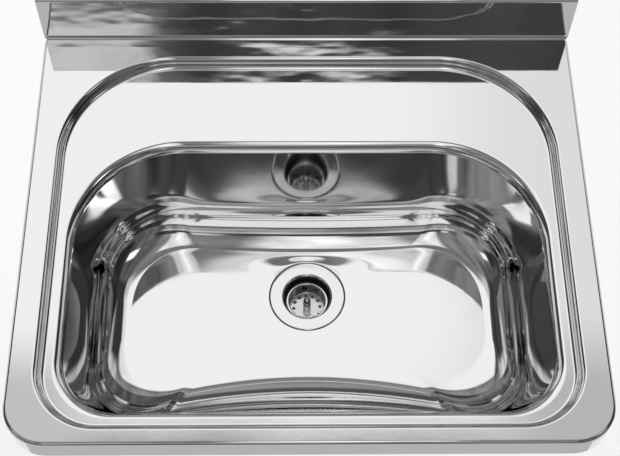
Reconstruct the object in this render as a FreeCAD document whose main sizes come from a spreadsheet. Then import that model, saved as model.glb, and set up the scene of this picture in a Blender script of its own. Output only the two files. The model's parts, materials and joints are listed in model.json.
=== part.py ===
import FreeCAD, Part
import Sketcher
import math
import os
import re
from FreeCAD import Placement, Rotation, Vector

# Wall-hung hand basin, pressed from one sheet, with its waste and its two wall brackets.
# Millimetres. X runs along the wall, -Y points away from it, +Z is up. The wall is the plane
# Y = 0 and the origin is the middle of the four wall screw holes. Pieces are drawn with the top
# of the deck at Z = 0 and are then lifted by fixingDrop, or down to the waste by their Placement.

sizeRows = [
    ("deckWidth", 500, "overall width along the wall"),
    ("deckDepth", 408, "face of the upstand to the front edge"),
    ("sheetThickness", 1.2, "gauge of the pressed sheet"),
    ("apronHeight", 24, "turned-down edge, deck top to its lower edge"),
    ("apronRadius", 3.2, "outside bend between deck and apron"),
    ("frontCornerRadius", 36, "front corners in plan"),
    ("upstandHeight", 54, "deck top to the top of the upstand"),
    ("returnDepth", 12, "face of the upstand to the wall"),
    ("returnLip", 12, "lip turned down against the wall"),
    ("foldRadius", 3, "bend between deck and upstand"),
    ("returnRadius", 2.4, "outside bends along the top of the upstand"),
    ("recessSideMargin", 21, "side edge of the deck to the recess"),
    ("recessBackMargin", 22, "face of the upstand to the recess"),
    ("recessFrontMargin", 12.5, "front edge to the recess"),
    ("recessDepth", 10, "deck top to the ledge"),
    ("recessTopRadius", 4.4, "rounded upper edge of the recess"),
    ("recessFootRadius", 4.8, "rounded foot of the recess"),
    ("recessBackRadius", 107, "back corners of the recess in plan"),
    ("recessFrontRadius", 55, "front corners of the recess in plan"),
    ("recessDraft", 8, "slope of the recess wall, degrees from upright"),
    ("bowlSideMargin", 35, "side edge of the deck to the bowl rim"),
    ("bowlReach", 271, "bowl rim, back to front"),
    ("bowlFrontMargin", 26.2, "front edge to the bowl rim"),
    ("bowlDepth", 140, "deck top to the floor of the bowl"),
    ("bowlRimRadius", 7, "rounded rim of the bowl"),
    ("bowlBackRadius", 100, "back corners of the rim in plan"),
    ("bowlFrontRadius", 50, "front corners of the rim in plan"),
    ("footBackRadius", 68, "back corners of the bowl's foot in plan"),
    ("footFrontRadius", 50, "front corners of the bowl's foot in plan"),
    ("sideDraft", 6, "slope of the side walls, degrees from upright"),
    ("backDraft", 3, "slope of the back wall, degrees from upright"),
    ("frontDraft", 18, "slope of the front wall, degrees from upright"),
    ("sideFootRadius", 28, "rounded foot of the side walls"),
    ("backFootRadius", 34, "rounded foot of the back wall"),
    ("frontFootRadius", 58, "rounded foot of the front wall"),
    ("frontWaist", 13, "how far the front wall bows inwards at its foot"),
    ("backWaist", 4, "how far the back wall bows inwards at its foot"),
    ("wasteBackGap", 1.6, "foot of the back wall to the falling floor round the waste"),
    ("floorFall", 1.5, "fall of the floor round the waste"),
    ("floorFallRun", 2.6, "width of that fall"),
    ("tailHoleGap", 1.5, "gap of the waste's tail in the hole in the bowl"),
    ("seatGap", 1.6, "waste flange to the wall of its seat in the floor"),
    ("seatWallRun", 2.4, "width of the sloping wall round the seat"),
    ("flangeRadius", 36.3, "waste flange"),
    ("flangeThickness", 1.8, "waste flange at its rim"),
    ("tailRadius", 23.9, "outside of the threaded tail"),
    ("tailLength", 62, "flange top to the end of the tail"),
    ("tailChamfer", 1.2, "chamfer at the end of the tail"),
    ("trapThread", 24, "thread for the trap's nut, up from the end of the tail"),
    ("reliefWidth", 3, "relief groove above that thread"),
    ("reliefCut", 1, "depth of the relief groove"),
    ("mouthWall", 1.3, "wall of the tail round the waste's mouth"),
    ("mouthRounding", 2.2, "rounded edge of the mouth"),
    ("ledgeDepth", 12, "flange top to the ledge that carries the strainer"),
    ("ledgeWidth", 3.6, "width of that ledge"),
    ("spiderDepth", 40, "flange top to the top of the spider"),
    ("spiderHeight", 5, "depth of the spider's bars"),
    ("spiderBar", 3, "width of the spider's bars"),
    ("spiderArms", 3, "number of bars"),
    ("hubRadius", 6.2, "hub of the spider"),
    ("sealThickness", 1.6, "rubber seal under the flange"),
    ("sealInset", 0.8, "flange rim to the edge of its seal"),
    ("gasketThickness", 3, "rubber gasket under the bowl"),
    ("washerThickness", 1.5, "slip washer between gasket and back nut"),
    ("ringCover", 8.6, "hole in the bowl to the edge of gasket and slip washer"),
    ("tailClearance", 0.15, "gap of the rings and the nut round the tail"),
    ("backNutWall", 7.1, "tail to the flats of the back nut"),
    ("backNutHeight", 9, "back nut"),
    ("backNutChamfer", 1.5, "chamfer on the corners of the back nut"),
    ("cupRimGap", 2.2, "rim of the strainer cup to the waste's mouth"),
    ("cupSheet", 0.8, "gauge of the strainer cup"),
    ("cupDepth", 15, "rim of the cup to the top of its plate"),
    ("cupClearance", 0.4, "gap between the cup and the throat"),
    ("cupDraft", 0.3, "how much narrower the cup is at its plate"),
    ("cupSealThickness", 0.9, "seal under the rim of the cup"),
    ("restGap", 0.2, "seal of the resting cup to the ledge"),
    ("cupHoleCount", 12, "drain holes in the cup"),
    ("cupHoleRadius", 1.72, "drain holes"),
    ("cupHoleMargin", 2, "drain holes to the rounded edge of the plate"),
    ("cupHoleTurn", 4.2, "turn of the first drain hole, degrees"),
    ("postRadius", 3.8, "strainer post above the plate"),
    ("postHeight", 9.6, "strainer post above the plate"),
    ("postNeckRadius", 1.9, "neck of the post under its knob"),
    ("postRounding", 1.2, "rounded shoulder of the post"),
    ("knobRadius", 3.6, "ball knob"),
    ("knobHeight", 14.5, "plate to the centre of the knob"),
    ("stemRadius", 3, "stem of the post below the plate"),
    ("stemClearance", 0.3, "gap of the stem in the plate, washer, nut and hub"),
    ("stemExtra", 3, "stem beyond the spider"),
    ("stemFit", 0.1, "gap of the stem in its washer and nut"),
    ("sealFit", 0.05, "gap of the seal round the strainer cup"),
    ("postWasherRadius", 7, "washer under the plate"),
    ("postWasherThickness", 1, "washer under the plate"),
    ("postNutFlats", 10, "nut under the plate across its flats"),
    ("postNutHeight", 4, "nut under the plate"),
    ("bracketSheet", 3, "gauge of the wall brackets"),
    ("bracketLength", 302, "wall to the front end of a bracket"),
    ("bracketGap", 1.2, "edge of the recess to a bracket's web"),
    ("bracketEdgeGap", 0.3, "edge of a bracket's top flange to the deck's bend"),
    ("bracketWallFlange", 42, "width of a bracket's wall flange"),
    ("bracketHeight", 128, "deck top to the bottom of a bracket"),
    ("bracketNose", 16, "depth of a bracket's web at its front end"),
    ("bracketToe", 14, "width of a bracket's web at its bottom"),
    ("bracketTopGap", 14, "deck top to the top of a wall flange"),
    ("bracketBend", 4, "outside bends of a bracket"),
    ("bracketCorner", 7, "rounded corners of a bracket's flanges"),
    ("fixingInset", 23.2, "outer face of a bracket's web to its wall screw holes"),
    ("fixingPitch", 70, "wall screw holes, upper to lower"),
    ("fixingDrop", 70, "deck top to the middle of the wall screw holes"),
    ("fixingHoleRadius", 4.5, "wall screw holes"),
    ("studRadius", 3, "studs under the deck"),
    ("studLength", 17, "studs under the deck"),
    ("studBackDistance", 62, "wall to the back studs"),
    ("studPitch", 208, "back studs to front studs"),
    ("studEdgeGap", 6.2, "edge of a top flange to a stud's centre"),
    ("studClearance", 0.4, "gap of the studs in brackets and washers"),
    ("nutClearance", 0.1, "gap of the studs in springs and nuts"),
    ("studWasherRadius", 6, "washers on the studs"),
    ("studWasherThickness", 1.2, "washers on the studs"),
    ("springHeight", 1.6, "spring washers on the studs"),
    ("springRadius", 5, "spring washers on the studs"),
    ("springSlit", 1.2, "slit in the spring washers"),
    ("studNutFlats", 10, "nuts on the studs across their flats"),
    ("studNutHeight", 5, "nuts on the studs"),
]

doc = FreeCAD.newDocument("HandBasin")
sheet = doc.addObject("Spreadsheet::Sheet", "Sizes")
for row, (alias, number, note) in enumerate(sizeRows, start=1):
    sheet.set(f"A{row}", note)
    sheet.set(f"B{row}", str(number))
    sheet.setAlias(f"B{row}", alias)
doc.recompute()

aliases = {alias for alias, number, note in sizeRows}
finished = []
upwards = Vector(0, 0, 1)


def full(expression):
    """The same expression with each size named through the spreadsheet."""
    return re.sub(r"[A-Za-z]+", lambda word: "Sizes." + word.group()
                  if word.group() in aliases else word.group(), expression)


def value(expression):
    """The number that an expression of sizes gives now."""
    return float(sheet.evalExpression(full(expression)))


def bind(target, attribute, expression):
    target.setExpression(attribute, full(expression))


deckPlace = Vector(0, 0, value("fixingDrop"))


def finish(piece, label, spot=deckPlace):
    """Name a finished piece, put it in its place and keep it for writing."""
    piece.Label = label
    piece.Placement = Placement(spot, Rotation())
    finished.append(piece)
    return piece


# ---------------------------------------------------------------- sketches and bodies

def newBody(name):
    return doc.addObject("PartDesign::Body", name)


def originFeature(body, role):
    return next(item for item in body.Origin.OriginFeatures if item.Role == role)


def newSketch(body, name, plane, height="0"):
    sketch = body.newObject("Sketcher::SketchObject", name)
    sketch.AttachmentSupport = [(originFeature(body, plane), "")]
    sketch.MapMode = "FlatFace"
    bind(sketch, "AttachmentOffset.Base.z", height)
    return sketch


def place(sketch, item, end, across, up):
    """Tie one point of the sketch to its two distances from the origin."""
    for kind, expression in (("DistanceX", across), ("DistanceY", up)):
        number = sketch.addConstraint(Sketcher.Constraint(kind, -1, 1, item, end, value(expression)))
        bind(sketch, f"Constraints[{number}]", expression)


def bindRadius(sketch, item, radius):
    number = sketch.addConstraint(Sketcher.Constraint("Radius", item, value(radius)))
    bind(sketch, f"Constraints[{number}]", radius)


def closedPath(sketch, steps):
    """Draw a closed path. Each step is (across, up) for a straight side to that point, or
    (across, up, radius, turn) for an arc to it that turns left (1) or right (-1)."""
    points = [Vector(value(step[0]), value(step[1]), 0) for step in steps]
    sides = []
    for number, step in enumerate(steps):
        start = points[number - 1]
        end = points[number]
        if len(step) == 2:
            sides.append((sketch.addGeometry(Part.LineSegment(start, end)), 1, 2))
            continue
        radius, turn = value(step[2]), step[3]
        chord = end - start
        rise = math.sqrt(max(radius ** 2 - (chord.Length / 2) ** 2, 0))
        across = Vector(-chord.y, chord.x, 0).normalize() * turn
        centre = (start + end) / 2 + across * rise
        first, last = (start, end) if turn > 0 else (end, start)
        angles = [math.atan2(point.y - centre.y, point.x - centre.x) for point in (first, last)]
        arc = Part.ArcOfCircle(Part.Circle(centre, upwards, radius), *angles)
        startEnd, lastEnd = (1, 2) if turn > 0 else (2, 1)
        sides.append((sketch.addGeometry(arc), startEnd, lastEnd))
    for number, step in enumerate(steps):
        item, _, itemEnd = sides[number]
        following, followingStart, _ = sides[(number + 1) % len(sides)]
        sketch.addConstraint(Sketcher.Constraint("Coincident", item, itemEnd, following, followingStart))
        place(sketch, item, itemEnd, step[0], step[1])
        if len(step) == 4:
            bindRadius(sketch, item, step[2])


def circle(sketch, across, up, radius):
    item = sketch.addGeometry(Part.Circle(Vector(value(across), value(up), 0), upwards, value(radius)))
    place(sketch, item, 3, across, up)
    bindRadius(sketch, item, radius)


def hexagon(sketch, across, up, flats):
    """A hexagon with two flats square to the second axis."""
    corners = [(1, 0), (0.5, 1), (-0.5, 1), (-1, 0), (-0.5, -1), (0.5, -1)]
    closedPath(sketch, [(f"{across} + ({x}) * {flats} / sqrt(3)", f"{up} + ({y}) * {flats} / 2")
                        for x, y in corners])


def pad(body, sketch, length, reverse=False, middle=False):
    feature = body.newObject("PartDesign::Pad", sketch.Name + "Pad")
    feature.Profile = sketch
    bind(feature, "Length", length)
    feature.Reversed = reverse
    feature.Midplane = middle
    return feature


def pocket(body, sketch, length, reverse=False, middle=False):
    feature = body.newObject("PartDesign::Pocket", sketch.Name + "Pocket")
    feature.Profile = sketch
    bind(feature, "Length", length)
    feature.Reversed = reverse
    feature.Midplane = middle
    return feature


def fillet(body, name, radius, wanted):
    """Round the edges of the body so far for which wanted(edge) holds."""
    doc.recompute()
    base = body.Tip
    names = [f"Edge{number}" for number, edge in enumerate(base.Shape.Edges, start=1) if wanted(edge)]
    feature = body.newObject("PartDesign::Fillet", name)
    feature.Base = (base, names)
    bind(feature, "Radius", radius)
    return feature


def turned(name, steps):
    """A body turned about the Z axis from a profile of (radius, height) steps."""
    body = newBody(name)
    sketch = newSketch(body, name + "Profile", "XZ_Plane")
    closedPath(sketch, steps)
    feature = body.newObject("PartDesign::Revolution", name + "Turn")
    feature.Profile = sketch
    feature.ReferenceAxis = (originFeature(body, "Z_Axis"), [""])
    feature.Angle = 360
    return body


def ring(name, inner, outer, top, bottom):
    return turned(name, [(inner, bottom), (outer, bottom), (outer, top), (inner, top)])


# ---------------------------------------------------------------- deck, apron and upstand

frontEdge = "(-returnDepth - deckDepth)"
deckBack = "(-returnDepth - foldRadius)"


def roundedFront(sketch, inset, back):
    """The deck's outline in plan, drawn inset: square at the back, rounded in front."""
    side = f"(deckWidth / 2 - {inset})"
    front = f"({frontEdge} + {inset})"
    radius = f"(frontCornerRadius - {inset})"
    closedPath(sketch, [
        (f"-{side}", back),
        (f"-{side}", f"{front} + {radius}"),
        (f"-{side} + {radius}", front, radius, 1),
        (f"{side} - {radius}", front),
        (side, f"{front} + {radius}", radius, 1),
        (side, back),
    ])


def outlineSketch(sketch, side, back, front, backRadius, frontRadius):
    """A rectangle in plan with two large back corners and two smaller front corners."""
    closedPath(sketch, [
        (f"-{side}", f"{front} + {frontRadius}"),
        (f"-{side} + {frontRadius}", front, frontRadius, 1),
        (f"{side} - {frontRadius}", front),
        (side, f"{front} + {frontRadius}", frontRadius, 1),
        (side, f"{back} - {backRadius}"),
        (f"{side} - {backRadius}", back, backRadius, 1),
        (f"-{side} + {backRadius}", back),
        (f"-{side}", f"{back} - {backRadius}", backRadius, 1),
    ])


deck = newBody("Deck")
blank = newSketch(deck, "DeckBlank", "XY_Plane")
roundedFront(blank, "0", deckBack)
pad(deck, blank, "apronHeight", reverse=True)
fillet(deck, "ApronBend", "apronRadius",
       lambda edge: abs(edge.CenterOfMass.z) < 0.01
       and edge.CenterOfMass.y < value(deckBack) - 1)
under = newSketch(deck, "DeckUnderside", "XY_Plane", "-sheetThickness")
roundedFront(under, "sheetThickness", f"{deckBack} + foldRadius")
pocket(deck, under, "apronHeight")
fillet(deck, "ApronBendInside", "apronRadius - sheetThickness",
       lambda edge: abs(edge.CenterOfMass.z + value("sheetThickness")) < 0.01
       and edge.CenterOfMass.y < value(deckBack) - 1)

upstand = newSketch(deck, "UpstandProfile", "YZ_Plane")
closedPath(upstand, [
    (deckBack, "-sheetThickness"),
    ("-returnDepth + sheetThickness", "foldRadius", "foldRadius + sheetThickness", 1),
    ("-returnDepth + sheetThickness", "upstandHeight - returnRadius"),
    ("-returnDepth + returnRadius", "upstandHeight - sheetThickness", "returnRadius - sheetThickness", -1),
    ("-returnRadius", "upstandHeight - sheetThickness"),
    ("-sheetThickness", "upstandHeight - returnRadius", "returnRadius - sheetThickness", -1),
    ("-sheetThickness", "upstandHeight - returnLip"),
    ("0", "upstandHeight - returnLip"),
    ("0", "upstandHeight - returnRadius"),
    ("-returnRadius", "upstandHeight", "returnRadius", 1),
    ("-returnDepth + returnRadius", "upstandHeight"),
    ("-returnDepth", "upstandHeight - returnRadius", "returnRadius", 1),
    ("-returnDepth", "foldRadius"),
    (deckBack, "0", "foldRadius", -1),
])
pad(deck, upstand, "deckWidth", middle=True)

recessSide = "(deckWidth / 2 - recessSideMargin)"
recessBack = "(-returnDepth - recessBackMargin)"
recessFront = f"({frontEdge} + recessFrontMargin)"
opening = newSketch(deck, "DeckOpening", "XY_Plane", "sheetThickness")
outlineSketch(opening, recessSide, recessBack, recessFront, "recessBackRadius", "recessFrontRadius")
pocket(deck, opening, "3 * sheetThickness")

# ---------------------------------------------------------------- recess and bowl
# Two drawn dishes. The recess has one profile all round, extruded along its sides and revolved
# about its corners. The bowl's side, back and front walls have profiles of their own, so it is
# ruled through plan outlines. The underside is drawn the same way, a sheet's thickness further out.
# The steps say in how many straight parts each rounded part of a profile is drawn.

floorLevel = value("-bowlDepth")
flangeLevel = value("-bowlDepth - floorFall")
bowlFront = f"({frontEdge} + bowlFrontMargin)"
bowlBack = f"({bowlFront} + bowlReach)"
bowlSide = "(deckWidth / 2 - bowlSideMargin)"
wasteHole = "(tailRadius + tailHoleGap)"
seatOuter = "(flangeRadius + seatGap)"
seatWallOuter = f"({seatOuter} + seatWallRun)"
dishOuter = f"({seatWallOuter} + floorFallRun)"
recessSteps = 3
rimSteps = 3
footSteps = 6


def arcBetween(centre, radius, firstAngle, lastAngle):
    """An arc in plan, and its two ends."""
    points = [centre + Vector(radius * math.cos(angle), radius * math.sin(angle), 0)
              for angle in (firstAngle, (firstAngle + lastAngle) / 2, lastAngle)]
    return Part.Arc(*points).toShape(), points[0], points[2]


def outlineEdges(plan, height):
    """Eight edges in plan: four corners, two straight sides and two long sides that may bow in.
    They run counterclockwise from the right front corner."""
    quarter = math.pi / 2
    corners = []
    for end, backward in (("front", 1), ("back", -1)):
        radius = plan[end + "Radius"]
        reach = plan["side"] - radius
        gap = radius - plan[end + "Bow"]
        swing = 0.0
        if plan[end + "Bow"] > 0:
            bowRadius = (reach ** 2 + gap ** 2 - radius ** 2) / (2 * plan[end + "Bow"])
            swing = math.atan2(reach, bowRadius + gap)
        level = plan[end] + backward * radius
        corners.append((reach, level, radius, swing))
    frontReach, frontLevel, frontRadius, frontSwing = corners[0]
    backReach, backLevel, backRadius, backSwing = corners[1]
    arcs = [
        arcBetween(Vector(frontReach, frontLevel, height), frontRadius, -quarter - frontSwing, 0),
        arcBetween(Vector(backReach, backLevel, height), backRadius, 0, quarter + backSwing),
        arcBetween(Vector(-backReach, backLevel, height), backRadius, quarter - backSwing, 2 * quarter),
        arcBetween(Vector(-frontReach, frontLevel, height), frontRadius, 2 * quarter,
                   3 * quarter + frontSwing),
    ]
    bowMiddles = [None, Vector(0, plan["back"] - plan["backBow"], height),
                  None, Vector(0, plan["front"] + plan["frontBow"], height)]
    bows = [0, plan["backBow"], 0, plan["frontBow"]]
    edges = []
    for number, (edge, start, end) in enumerate(arcs):
        following = arcs[(number + 1) % 4][1]
        side = Part.LineSegment(end, following)
        if bows[number] > 0:
            side = Part.Arc(end, bowMiddles[number], following)
        edges += [edge, side.toShape()]
    return edges


def recessSurface(extra):
    """The recess wall, with its outlines at the deck and at the ledge."""
    lean = math.radians(value("recessDraft"))
    depth = value("recessDepth")
    topRadius = value("recessTopRadius") - extra
    footRadius = value("recessFootRadius") + extra
    footCentre = (topRadius + footRadius) * math.cos(lean) + math.tan(lean) * (
        depth - (topRadius + footRadius) * (1 - math.sin(lean)))
    points = []
    for radius, across, up, sign in ((topRadius, 0, -topRadius, 1),
                                     (footRadius, footCentre, footRadius - depth, -1)):
        angles = [math.pi / 2 + (lean - math.pi / 2) * step / recessSteps for step in range(recessSteps + 1)]
        if sign < 0:
            angles.reverse()
        points.append([Vector(across + sign * radius * math.cos(angle), 0,
                              up + sign * radius * math.sin(angle) - extra) for angle in angles])
    profile = Part.makePolygon(points[0] + points[1])
    plans = []
    for inset in (0, footCentre):
        plans.append({
            "side": value(recessSide) - inset, "back": value(recessBack) - inset,
            "front": value(recessFront) + inset, "backBow": 0, "frontBow": 0,
            "backRadius": value("recessBackRadius") - inset,
            "frontRadius": value("recessFrontRadius") - inset,
        })
    outer = outlineEdges(plans[0], -extra)
    inner = outlineEdges(plans[1], -extra - depth)
    faces = []
    for edge in outer:
        start = edge.Vertexes[0].Point
        along = edge.tangentAt(edge.FirstParameter)
        section = profile.copy()
        inward = upwards.cross(along)
        section.Placement = Placement(Vector(start.x, start.y, 0), Rotation(Vector(1, 0, 0), inward))
        if isinstance(edge.Curve, Part.Circle):
            centre = edge.Curve.Center
            angle = math.degrees(edge.Length / edge.Curve.Radius)
            faces += section.revolve(centre, upwards, angle).Faces
        else:
            faces += section.extrude(edge.Vertexes[1].Point - start).Faces
    return faces, Part.Wire(outer), Part.Wire(inner)


def wallInset(depth, wall):
    """How far a bowl wall has come in from the rim at a depth below the ledge."""
    lean = math.radians(wall["draft"])
    topEnd = wall["topRadius"] * (1 - math.sin(lean))
    footStart = wall["height"] - wall["footRadius"] * (1 - math.sin(lean))
    if depth < topEnd:
        return math.sqrt(wall["topRadius"] ** 2 - (wall["topRadius"] - depth) ** 2)
    straight = wall["topRadius"] * math.cos(lean)
    if depth < footStart:
        return straight + (depth - topEnd) * math.tan(lean)
    foot = straight + (footStart - topEnd) * math.tan(lean) + wall["footRadius"] * math.cos(lean)
    above = wall["footRadius"] - (wall["height"] - depth)
    return foot - math.sqrt(max(wall["footRadius"] ** 2 - above ** 2, 0))


def bowlWalls(extra):
    """What shapes the side, back and front walls of the bowl."""
    return {name: {"draft": value(name + "Draft"), "topRadius": value("bowlRimRadius") - extra,
                   "footRadius": value(name + "FootRadius") + extra,
                   "height": value("bowlDepth - recessDepth")} for name in ("side", "back", "front")}


backWall = bowlWalls(0)["back"]
backFoot = value(f"{bowlBack} - backWaist") - wallInset(backWall["height"], backWall)
wasteCentre = Vector(0, backFoot - value(f"wasteBackGap + {dishOuter}"), 0)


def bowlSurface(extra):
    """The bowl's wall, with its outlines at the ledge and at the floor."""
    walls = bowlWalls(extra)
    height = walls["side"]["height"]
    topRadius = walls["side"]["topRadius"]
    deepest = max(wall["footRadius"] for wall in walls.values())
    widest = math.pi / 2 - math.radians(max(wall["draft"] for wall in walls.values()))
    levels = []
    for step in range(rimSteps + 1):
        angle = widest * step / rimSteps
        levels.append((topRadius * (1 - math.cos(angle)), math.sin(angle)))
    for step in range(footSteps, -1, -1):
        angle = widest * step / footSteps
        levels.append((height - deepest * (1 - math.cos(angle)), math.sin(angle)))
    outlines = []
    for depth, lean in levels:
        share = depth / height
        easing = (3 - 2 * share) * share ** 2
        plan = {"side": value(bowlSide) - wallInset(depth, walls["side"]),
                "back": value(bowlBack) - wallInset(depth, walls["back"]),
                "front": value(bowlFront) + wallInset(depth, walls["front"])}
        for end in ("back", "front"):
            rim = value(f"bowl{end.title()}Radius")
            foot = value(f"foot{end.title()}Radius")
            plan[end + "Radius"] = rim + share * (foot - rim) + extra * lean
            plan[end + "Bow"] = value(end + "Waist") * easing
        outlines.append(outlineEdges(plan, -value("recessDepth") - extra - depth))
    faces = [Part.makeRuledSurface(*pair) for upper, lower in zip(outlines, outlines[1:])
             for pair in zip(upper, lower)]
    return faces, Part.Wire(outlines[0]), Part.Wire(outlines[-1])


def seatSurface(extra):
    """The dished seat of the waste, turned from its profile, with its outer and inner circles."""
    seatLevel = flangeLevel - value("flangeThickness + sealThickness")
    profile = [(value(dishOuter), floorLevel), (value(seatWallOuter), flangeLevel),
               (value(seatOuter), seatLevel), (value(wasteHole), seatLevel)]
    points = [wasteCentre + Vector(radius, 0, level - extra) for radius, level in profile]
    turnedFace = Part.makePolygon(points).revolve(wasteCentre, upwards, 360)
    circles = [Part.Wire(Part.makeCircle(radius, wasteCentre + Vector(0, 0, level - extra)))
               for radius, level in (profile[0], profile[-1])]
    return turnedFace.Faces, *circles


def dishedSheet(extra):
    """One surface of the drawn sheet, from the deck's opening to the waste hole."""
    recess, recessRim, recessFoot = recessSurface(extra)
    bowl, bowlRim, bowlFoot = bowlSurface(extra)
    seat, seatRim, hole = seatSurface(extra)
    ledge = Part.Face([recessFoot, bowlRim], "Part::FaceMakerBullseye")
    floor = Part.Face([bowlFoot, seatRim], "Part::FaceMakerBullseye")
    return recess + [ledge] + bowl + [floor] + seat, recessRim, hole


upperFaces, upperRim, upperHole = dishedSheet(0)
lowerFaces, lowerRim, lowerHole = dishedSheet(value("sheetThickness"))
bands = [Part.makeRuledSurface(*pair) for pair in zip(upperRim.Edges, lowerRim.Edges)]
bands.append(Part.makeRuledSurface(upperHole.Edges[0], lowerHole.Edges[0]))
drawnShell = Part.makeShell(upperFaces + lowerFaces + bands)
drawnShell.sewShape()
drawn = doc.addObject("Part::Feature", "DrawnBowl")
drawn.Shape = Part.makeSolid(drawnShell)

pressing = doc.addObject("Part::Fuse", "Pressing")
pressing.Base = deck
pressing.Tool = drawn
finish(pressing, "basin_pressing")

# ---------------------------------------------------------------- waste
# Every piece of the waste is turned about its own axis with the flange's top at Z = 0, and its
# Placement takes it to the seat in the bowl's floor.

wastePlace = deckPlace + wasteCentre + Vector(0, 0, flangeLevel)
mouth = "(tailRadius - mouthWall)"
throat = f"({mouth} - ledgeWidth)"
tailEnd = "(-tailLength)"
reliefBottom = f"({tailEnd} + trapThread)"
reliefTop = f"({reliefBottom} + reliefWidth)"
cutPast = 1    # how far a cut starts and ends beyond the faces it goes through


def finishWaste(piece, label):
    return finish(piece, label, wastePlace)


def holeRing(body, name, count, radius, ringRadius, turn, depth, height):
    """One hole cut through the body from a height and repeated round the Z axis."""
    sketch = newSketch(body, name, "XY_Plane", height)
    circle(sketch, f"{ringRadius} * cos({turn} * 1 deg)", f"{ringRadius} * sin({turn} * 1 deg)", radius)
    hole = pocket(body, sketch, depth)
    repeat(body, hole, name + "Ring", count)


def repeat(body, feature, name, count):
    pattern = body.newObject("PartDesign::PolarPattern", name)
    pattern.Originals = [feature]
    pattern.Axis = (originFeature(body, "Z_Axis"), [""])
    pattern.Angle = 360
    bind(pattern, "Occurrences", count)
    body.Tip = pattern


waste = turned("Waste", [
    (throat, tailEnd),
    ("tailRadius - tailChamfer", tailEnd),
    ("tailRadius", f"{tailEnd} + tailChamfer"),
    ("tailRadius", reliefBottom),
    ("tailRadius - reliefCut", f"{reliefBottom} + reliefCut"),
    ("tailRadius - reliefCut", f"{reliefTop} - reliefCut"),
    ("tailRadius", reliefTop),
    ("tailRadius", "-flangeThickness"),
    ("flangeRadius", "-flangeThickness"),
    ("flangeRadius", "-flangeThickness / 2"),
    ("flangeRadius - flangeThickness / 2", "0", "flangeThickness / 2", 1),
    (f"{mouth} + mouthRounding", "0"),
    (mouth, "-mouthRounding", "mouthRounding", 1),
    (mouth, "-ledgeDepth"),
    (throat, "-ledgeDepth"),
])
bar = newSketch(waste, "SpiderBar", "XY_Plane", "-spiderDepth - spiderHeight")
barEnd = f"({throat} + mouthWall)"
closedPath(bar, [("0", "-spiderBar / 2"), (barEnd, "-spiderBar / 2"),
                 (barEnd, "spiderBar / 2"), ("0", "spiderBar / 2")])
spider = pad(waste, bar, "spiderHeight")
repeat(waste, spider, "SpiderBars", "spiderArms")
hub = newSketch(waste, "SpiderHub", "XY_Plane", "-spiderDepth - spiderHeight")
circle(hub, "0", "0", "hubRadius")
pad(waste, hub, "spiderHeight")
hubBore = newSketch(waste, "HubBore", "XY_Plane", f"-spiderDepth + {cutPast}")
circle(hubBore, "0", "0", "stemRadius + stemClearance")
pocket(waste, hubBore, f"spiderHeight + 2 * {cutPast}")
finishWaste(waste, "waste_body")

sealTop = "-flangeThickness"
sheetTop = f"({sealTop} - sealThickness)"
gasketTop = f"({sheetTop} - sheetThickness)"
slipTop = f"({gasketTop} - gasketThickness)"
nutTop = f"({slipTop} - washerThickness)"
tailHole = "(tailRadius + tailClearance)"
ringOuter = f"({wasteHole} + ringCover)"
finishWaste(ring("FlangeSeal", tailHole, "flangeRadius - sealInset", sealTop, sheetTop), "flange_seal")
finishWaste(ring("Gasket", tailHole, ringOuter, gasketTop, slipTop), "lower_gasket")
finishWaste(ring("SlipWasher", tailHole, ringOuter, slipTop, nutTop), "slip_washer")


def hexNut(name, flats, hole, top, nutHeight):
    """A hexagonal nut with its bore."""
    body = newBody(name)
    outline = newSketch(body, name + "Flats", "XY_Plane", f"{top} - {nutHeight}")
    hexagon(outline, "0", "0", flats)
    pad(body, outline, nutHeight)
    bore = newSketch(body, name + "Bore", "XY_Plane", f"{top} + {cutPast}")
    circle(bore, "0", "0", hole)
    pocket(body, bore, f"{nutHeight} + 2 * {cutPast}")
    return body


def turnCorners(body, flats, top, nutHeight, chamfer):
    """Turn the corners of a nut off at both ends, at 30 degrees."""
    corner = f"({flats} / sqrt(3))"
    slope = "tan(30 deg)"
    beyond = f"({corner} + {chamfer})"
    for end, level, towards in (("Top", top, -1), ("Bottom", f"({top} - {nutHeight})", 1)):
        profile = newSketch(body, body.Name + end + "Corner", "XZ_Plane")
        closedPath(profile, [(f"{corner} - {chamfer}", level), (beyond, level),
                             (beyond, f"{level} + ({towards}) * 2 * {chamfer} * {slope}")])
        groove = body.newObject("PartDesign::Groove", body.Name + end + "Groove")
        groove.Profile = profile
        groove.ReferenceAxis = (originFeature(body, "Z_Axis"), [""])
        groove.Angle = 360


backNutFlats = "(2 * (tailRadius + backNutWall))"
backNut = hexNut("BackNut", backNutFlats, tailHole, nutTop, "backNutHeight")
turnCorners(backNut, backNutFlats, nutTop, "backNutHeight", "backNutChamfer")
finishWaste(backNut, "back_nut")

rimTop = "(-ledgeDepth + restGap + cupSealThickness + cupSheet)"
rimUnder = f"({rimTop} - cupSheet)"
plateTop = f"({rimTop} - cupDepth)"
plateUnder = f"({plateTop} - cupSheet)"
cupOuter = f"({throat} - cupClearance)"
cupRim = f"({mouth} - cupRimGap)"
plateEdge = f"({cupOuter} - cupDraft - 2 * cupSheet)"
cup = turned("Cup", [
    ("0", plateUnder),
    (plateEdge, plateUnder),
    (f"{cupOuter} - cupDraft", f"{plateUnder} + 2 * cupSheet"),
    (cupOuter, rimUnder),
    (cupRim, rimUnder),
    (cupRim, rimTop),
    (f"{cupOuter} - cupSheet", rimTop),
    (f"{plateEdge} + cupSheet", f"{plateTop} + cupSheet * sqrt(2)"),
    (f"{plateEdge} - cupSheet * (sqrt(2) - 1)", plateTop),
    ("0", plateTop),
])
holeRing(cup, "DrainHole", "cupHoleCount", "cupHoleRadius", f"({plateEdge} - cupHoleMargin - cupHoleRadius)",
         "cupHoleTurn", f"cupSheet + 2 * {cutPast}", f"{plateTop} + {cutPast}")
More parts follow.
